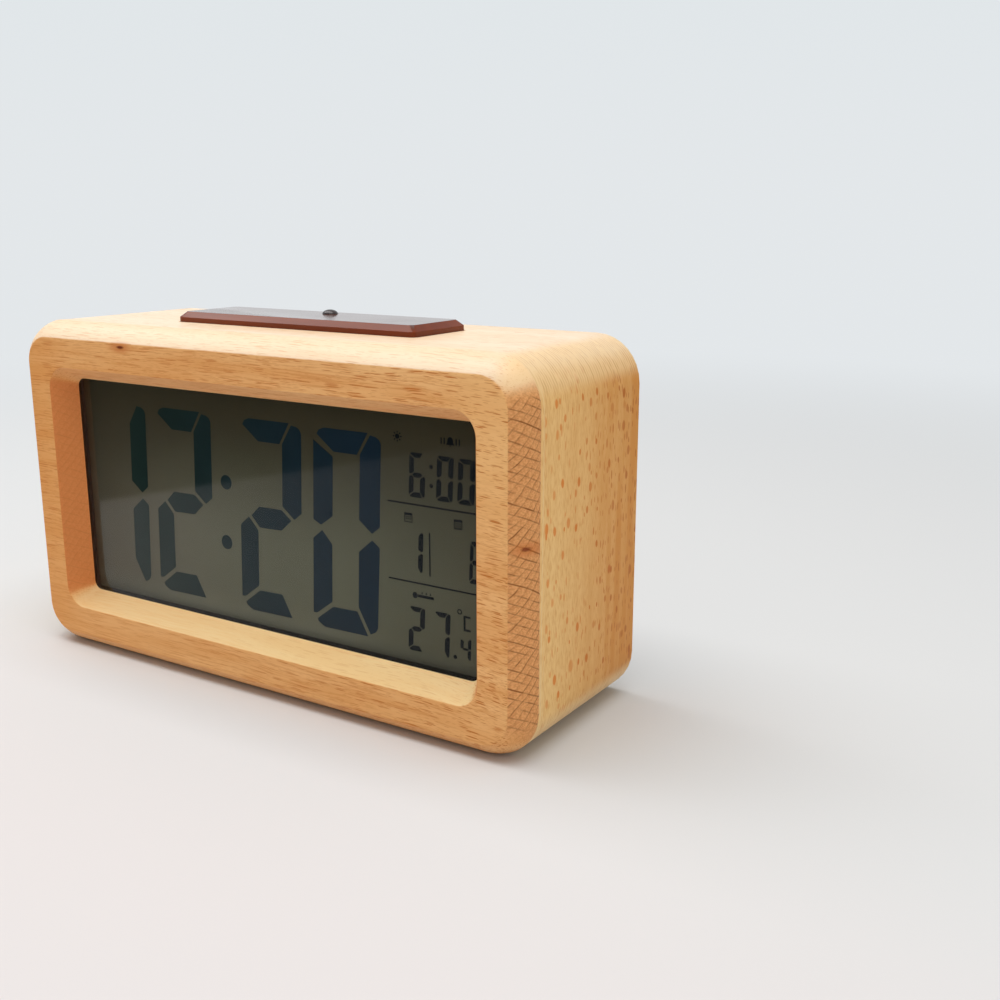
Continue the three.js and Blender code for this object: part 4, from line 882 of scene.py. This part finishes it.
def sensor_dome():
    """The light sensor: a flange, a stem and a flattened dome."""
    low, high = (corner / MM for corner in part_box("light_sensor"))
    x, y = (low.x + high.x) / 2, (low.y + high.y) / 2
    flange, base = (high.x - low.x) / 2, low.z
    step_up, shoulder = base + FLANGE_THICKNESS, high.z - DOME_RISE
    profile = [(0, base), (flange, base), (flange, step_up), (DOME_RADIUS, step_up), (DOME_RADIUS, shoulder)]
    for step in range(1, 13):
        turn = step * math.pi / 24
        profile.append((DOME_RADIUS * math.cos(turn), shoulder + DOME_RISE * math.sin(turn)))
    mesh = bmesh.new()
    turned(mesh, [(x + r, y, z) for r, z in profile], (x, y, 0), (0, 0, 1), steps=40)
    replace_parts(add_piece(mesh, "light_sensor_dome", "case", "dark_lens"), "light_sensor")


BAND_START = 31.0
BARE_RADIUS = 4.55


def dry_cell(number):
    """A cell with a sleeve, a pale band at its nub and bare metal ends."""
    low, high = (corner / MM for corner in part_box(f"cell_{number}"))
    y, z = (low.y + high.y) / 2, (low.z + high.z) / 2
    side = -1 if number % 2 else 1
    start = high.x if side < 0 else low.x
    radius = (high.z - low.z) / 2
    profile = [  # distance from the axis and place along it
        (0.0, 0), (3.6, 0), (3.9, 0.25), (4.6, 0.25), (radius - 0.35, 0.1), (radius - 0.08, 0.25),
        (radius, 0.6), (radius, BAND_START), (radius, 43.0), (radius - 0.08, 43.35), (radius - 0.35, 43.55),
        (4.5, 43.5), (3.6, 43.3), (2.3, 43.3), (1.9, 43.45), (1.9, 44.25), (1.65, 44.5), (0.0, 44.5),
    ]
    mesh = bmesh.new()
    points = [(start + side * along, y, z + out) for out, along in profile]
    turned(mesh, points, (0, y, z), (1, 0, 0), steps=48)
    for face in mesh.faces:
        centre = face.calc_center_median() / MM
        out, along = math.hypot(centre.y - y, centre.z - z), side * (centre.x - start)
        face.material_index = 2 if out < BARE_RADIUS else (1 if along > BAND_START else 0)
    piece = add_piece(mesh, f"cell_{number}_sleeved", "case", "cell_sleeve", ("cell_band", "nickel"))
    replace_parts(piece, f"cell_{number}")


def button_signs():
    """Raised signs on the rear controls, and a ring and a bar above the switch's two ends."""
    rise, sunk = (0, 0.14, 0), 0.02

    def middle_of(node):
        low, high = (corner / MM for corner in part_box(node))
        return (low.x + high.x) / 2, high.y - sunk, (low.z + high.z) / 2

    for role in ("set", "alarm", "up", "down"):
        x, y, z = middle_of(role + "_button")
        mesh = bmesh.new()
        if role == "set":
            dot(mesh, x, z, 1.2, rise, y, hole=0.85)
            bar_mark(mesh, x - 0.15, z - 0.1, x + 0.15, z + 0.7, y, rise)
        elif role == "alarm":
            bell(mesh, x, z, 2.5, y, rise)
        else:
            tip = 0.9 if role == "up" else -0.9
            raised_mark(mesh, [(x - 1.3, y, z - tip), (x + 1.3, y, z - tip), (x, y, z + tip)], rise)
        add_marks(mesh, role + "_button_sign", role + "_button", "white_plastic")

    x, _, z = middle_of("sensor_slider")
    mesh = bmesh.new()
    dot(mesh, x, z + 4.2, 1.0, rise, REAR_FACE - sunk, hole=0.68)
    bar_mark(mesh, x + 2.84, z + 3.2, x + 3.16, z + 5.2, REAR_FACE - sunk, rise)
    add_marks(mesh, "switch_signs", "case", "white_plastic")


for node in nodes.values():
    for slot in node.material_slots:
        slot.material = finishes[slot.material.name]

wooden_frame()
finished_copy("case_body", "case_shell_wood", "case", "beech_shell", width=0.25)
finished_copy("snooze_button", "press_plate", "snooze_button", "brown_gloss", width=0.14, steps=3)
finished_copy("rear_cover", "rear_cover_moulding", "case", "brown_plastic", width=0.12)
finished_copy("battery_door", "battery_door_moulding", "battery_door", "brown_plastic", width=0.15)
finished_copy("sensor_slider", "sensor_slider_knob", "sensor_slider", "black_plastic", width=0.2)
for role in ("set", "alarm", "up", "down"):
    button = role + "_button"
    finished_copy(button, button + "_cap", button, "brown_plastic", width=0.2, steps=3)
for number in (1, 2, 3):
    dry_cell(number)
    finished_copy(f"contact_spring_{number}", f"coiled_contact_{number}", "case", "nickel")
for number in (1, 2, 3, 4):
    finished_copy(f"cover_screw_{number}", f"cover_screw_{number}_plated", "case", "steel")
for role in ("battery_lead_plus", "buzzer_lead"):
    finished_copy(role, role + "_wire", "case", "red_insulation")
finished_copy("battery_lead_minus", "battery_lead_minus_wire", "case", "black_plastic")
sensor_dome()
display_marks()
button_signs()


FLOOR_HALF = 4.0
SHEET_EDGE = (-150.5, -162.5)  # a point on the paper's edge in millimetres
SHEET_INWARD = (0.946, 0.324)
FLOOR_NEAR = (0.74, 0.712, 0.714)
FLOOR_FAR = (0.70, 0.713, 0.722)
FLOOR_TOOTH = (0.74, 0.71, 0.69)
BARE_FLOOR = (0.02, 0.02, 0.018)
HORIZON = (0.77, 0.80, 0.82)
BACKDROP = (0.74, 0.79, 0.815)
SOFT_LIGHT = (1.0, 0.98, 0.95)


def paper_floor():
    """Pale paper that fades into the backdrop. Beyond its edge, mirrors see a dark floor."""
    mesh = bmesh.new()
    bmesh.ops.create_grid(mesh, x_segments=2, y_segments=2, size=FLOOR_HALF)
    data = bpy.data.meshes.new("floor")
    mesh.to_mesh(data)
    mesh.free()
    floor = bpy.data.objects.new("floor", data)
    bpy.context.scene.collection.objects.link(floor)
    paper = new_finish("floor")
    x, y, _ = paper.place()
    tooth = paper.noise(paper.grain((0.8, 0.8, 0.8)), 2)
    path = paper.node("ShaderNodeLightPath", None, None, "Is Camera Ray")
    mirrored = path.also("Is Glossy Ray")
    inward = (x - SHEET_EDGE[0]) * SHEET_INWARD[0] + (y - SHEET_EDGE[1]) * SHEET_INWARD[1]
    on_sheet = paper.ramp(inward, -5.0, 8.0)
    colour = paper.mix(paper.ramp(y, -90.0, 0.0), FLOOR_NEAR, FLOOR_FAR)
    colour = paper.mix(tooth * 0.05, colour, FLOOR_TOOTH)
    colour = paper.mix(mirrored * (1 - on_sheet), colour, BARE_FLOOR)
    matt = paper.node("ShaderNodeBsdfDiffuse", None, {"Color": colour})
    glow = paper.node("ShaderNodeEmission", None, {"Color": (*HORIZON, 1), "Strength": 1.0})
    far = (x * x + y * y).root()
    fade = paper.ramp(far, 60.0, 650.0) * path.most(path.also("Is Transmission Ray"))
    paper.close(paper.node("ShaderNodeMixShader", None, {0: fade, 1: matt, 2: glow}))
    data.materials.append(finishes["floor"])


def backdrop():
    """Pale wall that is seen and mirrored, and a soft light on everything."""
    world = bpy.data.worlds.new("studio")
    world.use_nodes = True
    bpy.context.scene.world = world
    sky = Finish(world.node_tree)
    path = sky.node("ShaderNodeLightPath", None, None, "Is Camera Ray")
    seen = path.most(path.also("Is Glossy Ray")).most(path.also("Is Transmission Ray"))
    soft = sky.node("ShaderNodeBackground", None, {"Color": (*SOFT_LIGHT, 1), "Strength": 0.36})
    _, _, height = sky.split(sky.node("ShaderNodeTexCoord", None, None, "Generated"))
    wall = sky.mix(sky.ramp(height, 0.0, 0.3), HORIZON, BACKDROP)
    shown = sky.node("ShaderNodeBackground", None, {"Color": wall, "Strength": 1.0})
    mixed = sky.node("ShaderNodeMixShader", None, {0: seen, 1: soft, 2: shown})
    sky.node("ShaderNodeOutputWorld", None, {"Surface": mixed})


def panel(name, place, target, size, power, colour):
    """A rectangular lamp that faces a target."""
    lamp = bpy.data.lights.new(name, "AREA")
    lamp.shape = "RECTANGLE"
    lamp.size, lamp.size_y = size
    lamp.energy = power
    lamp.color = colour
    holder = bpy.data.objects.new(name, lamp)
    holder.location = place
    holder.rotation_euler = (Vector(target) - Vector(place)).to_track_quat("-Z", "Y").to_euler()
    bpy.context.scene.collection.objects.link(holder)


def studio():
    """Pale floor, pale backdrop and soft light from above."""
    bpy.context.scene.view_settings.view_transform = "Standard"
    paper_floor()
    backdrop()
    panel(
        "overhead_panel", place=(-0.25, -0.09, 0.85), target=(-0.25, 0, 0),
        size=(1.5, 0.6), power=9.2, colour=(1.0, 0.99, 0.98),
    )
    panel(
        "side_panel", place=(0.75, -0.38, 0.50), target=(0, 0, 0.04),
        size=(0.8, 0.6), power=0.7, colour=(1.0, 0.93, 0.83),
    )


CAMERA_YAW, CAMERA_PITCH = -0.5655, 0.2398
CAMERA_PLACE = (0.1698854, -0.1916446, 0.0998641)
CAMERA_LENS = 42.58


def photo_camera():
    """Camera to the right of the clock and a little above it."""
    yaw, pitch = CAMERA_YAW, CAMERA_PITCH
    right = Vector((math.cos(yaw), -math.sin(yaw), 0))
    ahead = Vector((math.sin(yaw) * math.cos(pitch), math.cos(yaw) * math.cos(pitch), -math.sin(pitch)))
    above = right.cross(ahead)
    data = bpy.data.cameras.new("camera")
    data.sensor_width = 36.0
    data.lens = CAMERA_LENS
    data.clip_start = 0.01
    camera = bpy.data.objects.new("camera", data)
    axes = Matrix((right, above, -ahead)).transposed().to_4x4()
    camera.matrix_world = Matrix.Translation(CAMERA_PLACE) @ axes
    bpy.context.scene.collection.objects.link(camera)
    bpy.context.scene.camera = camera


studio()
photo_camera()
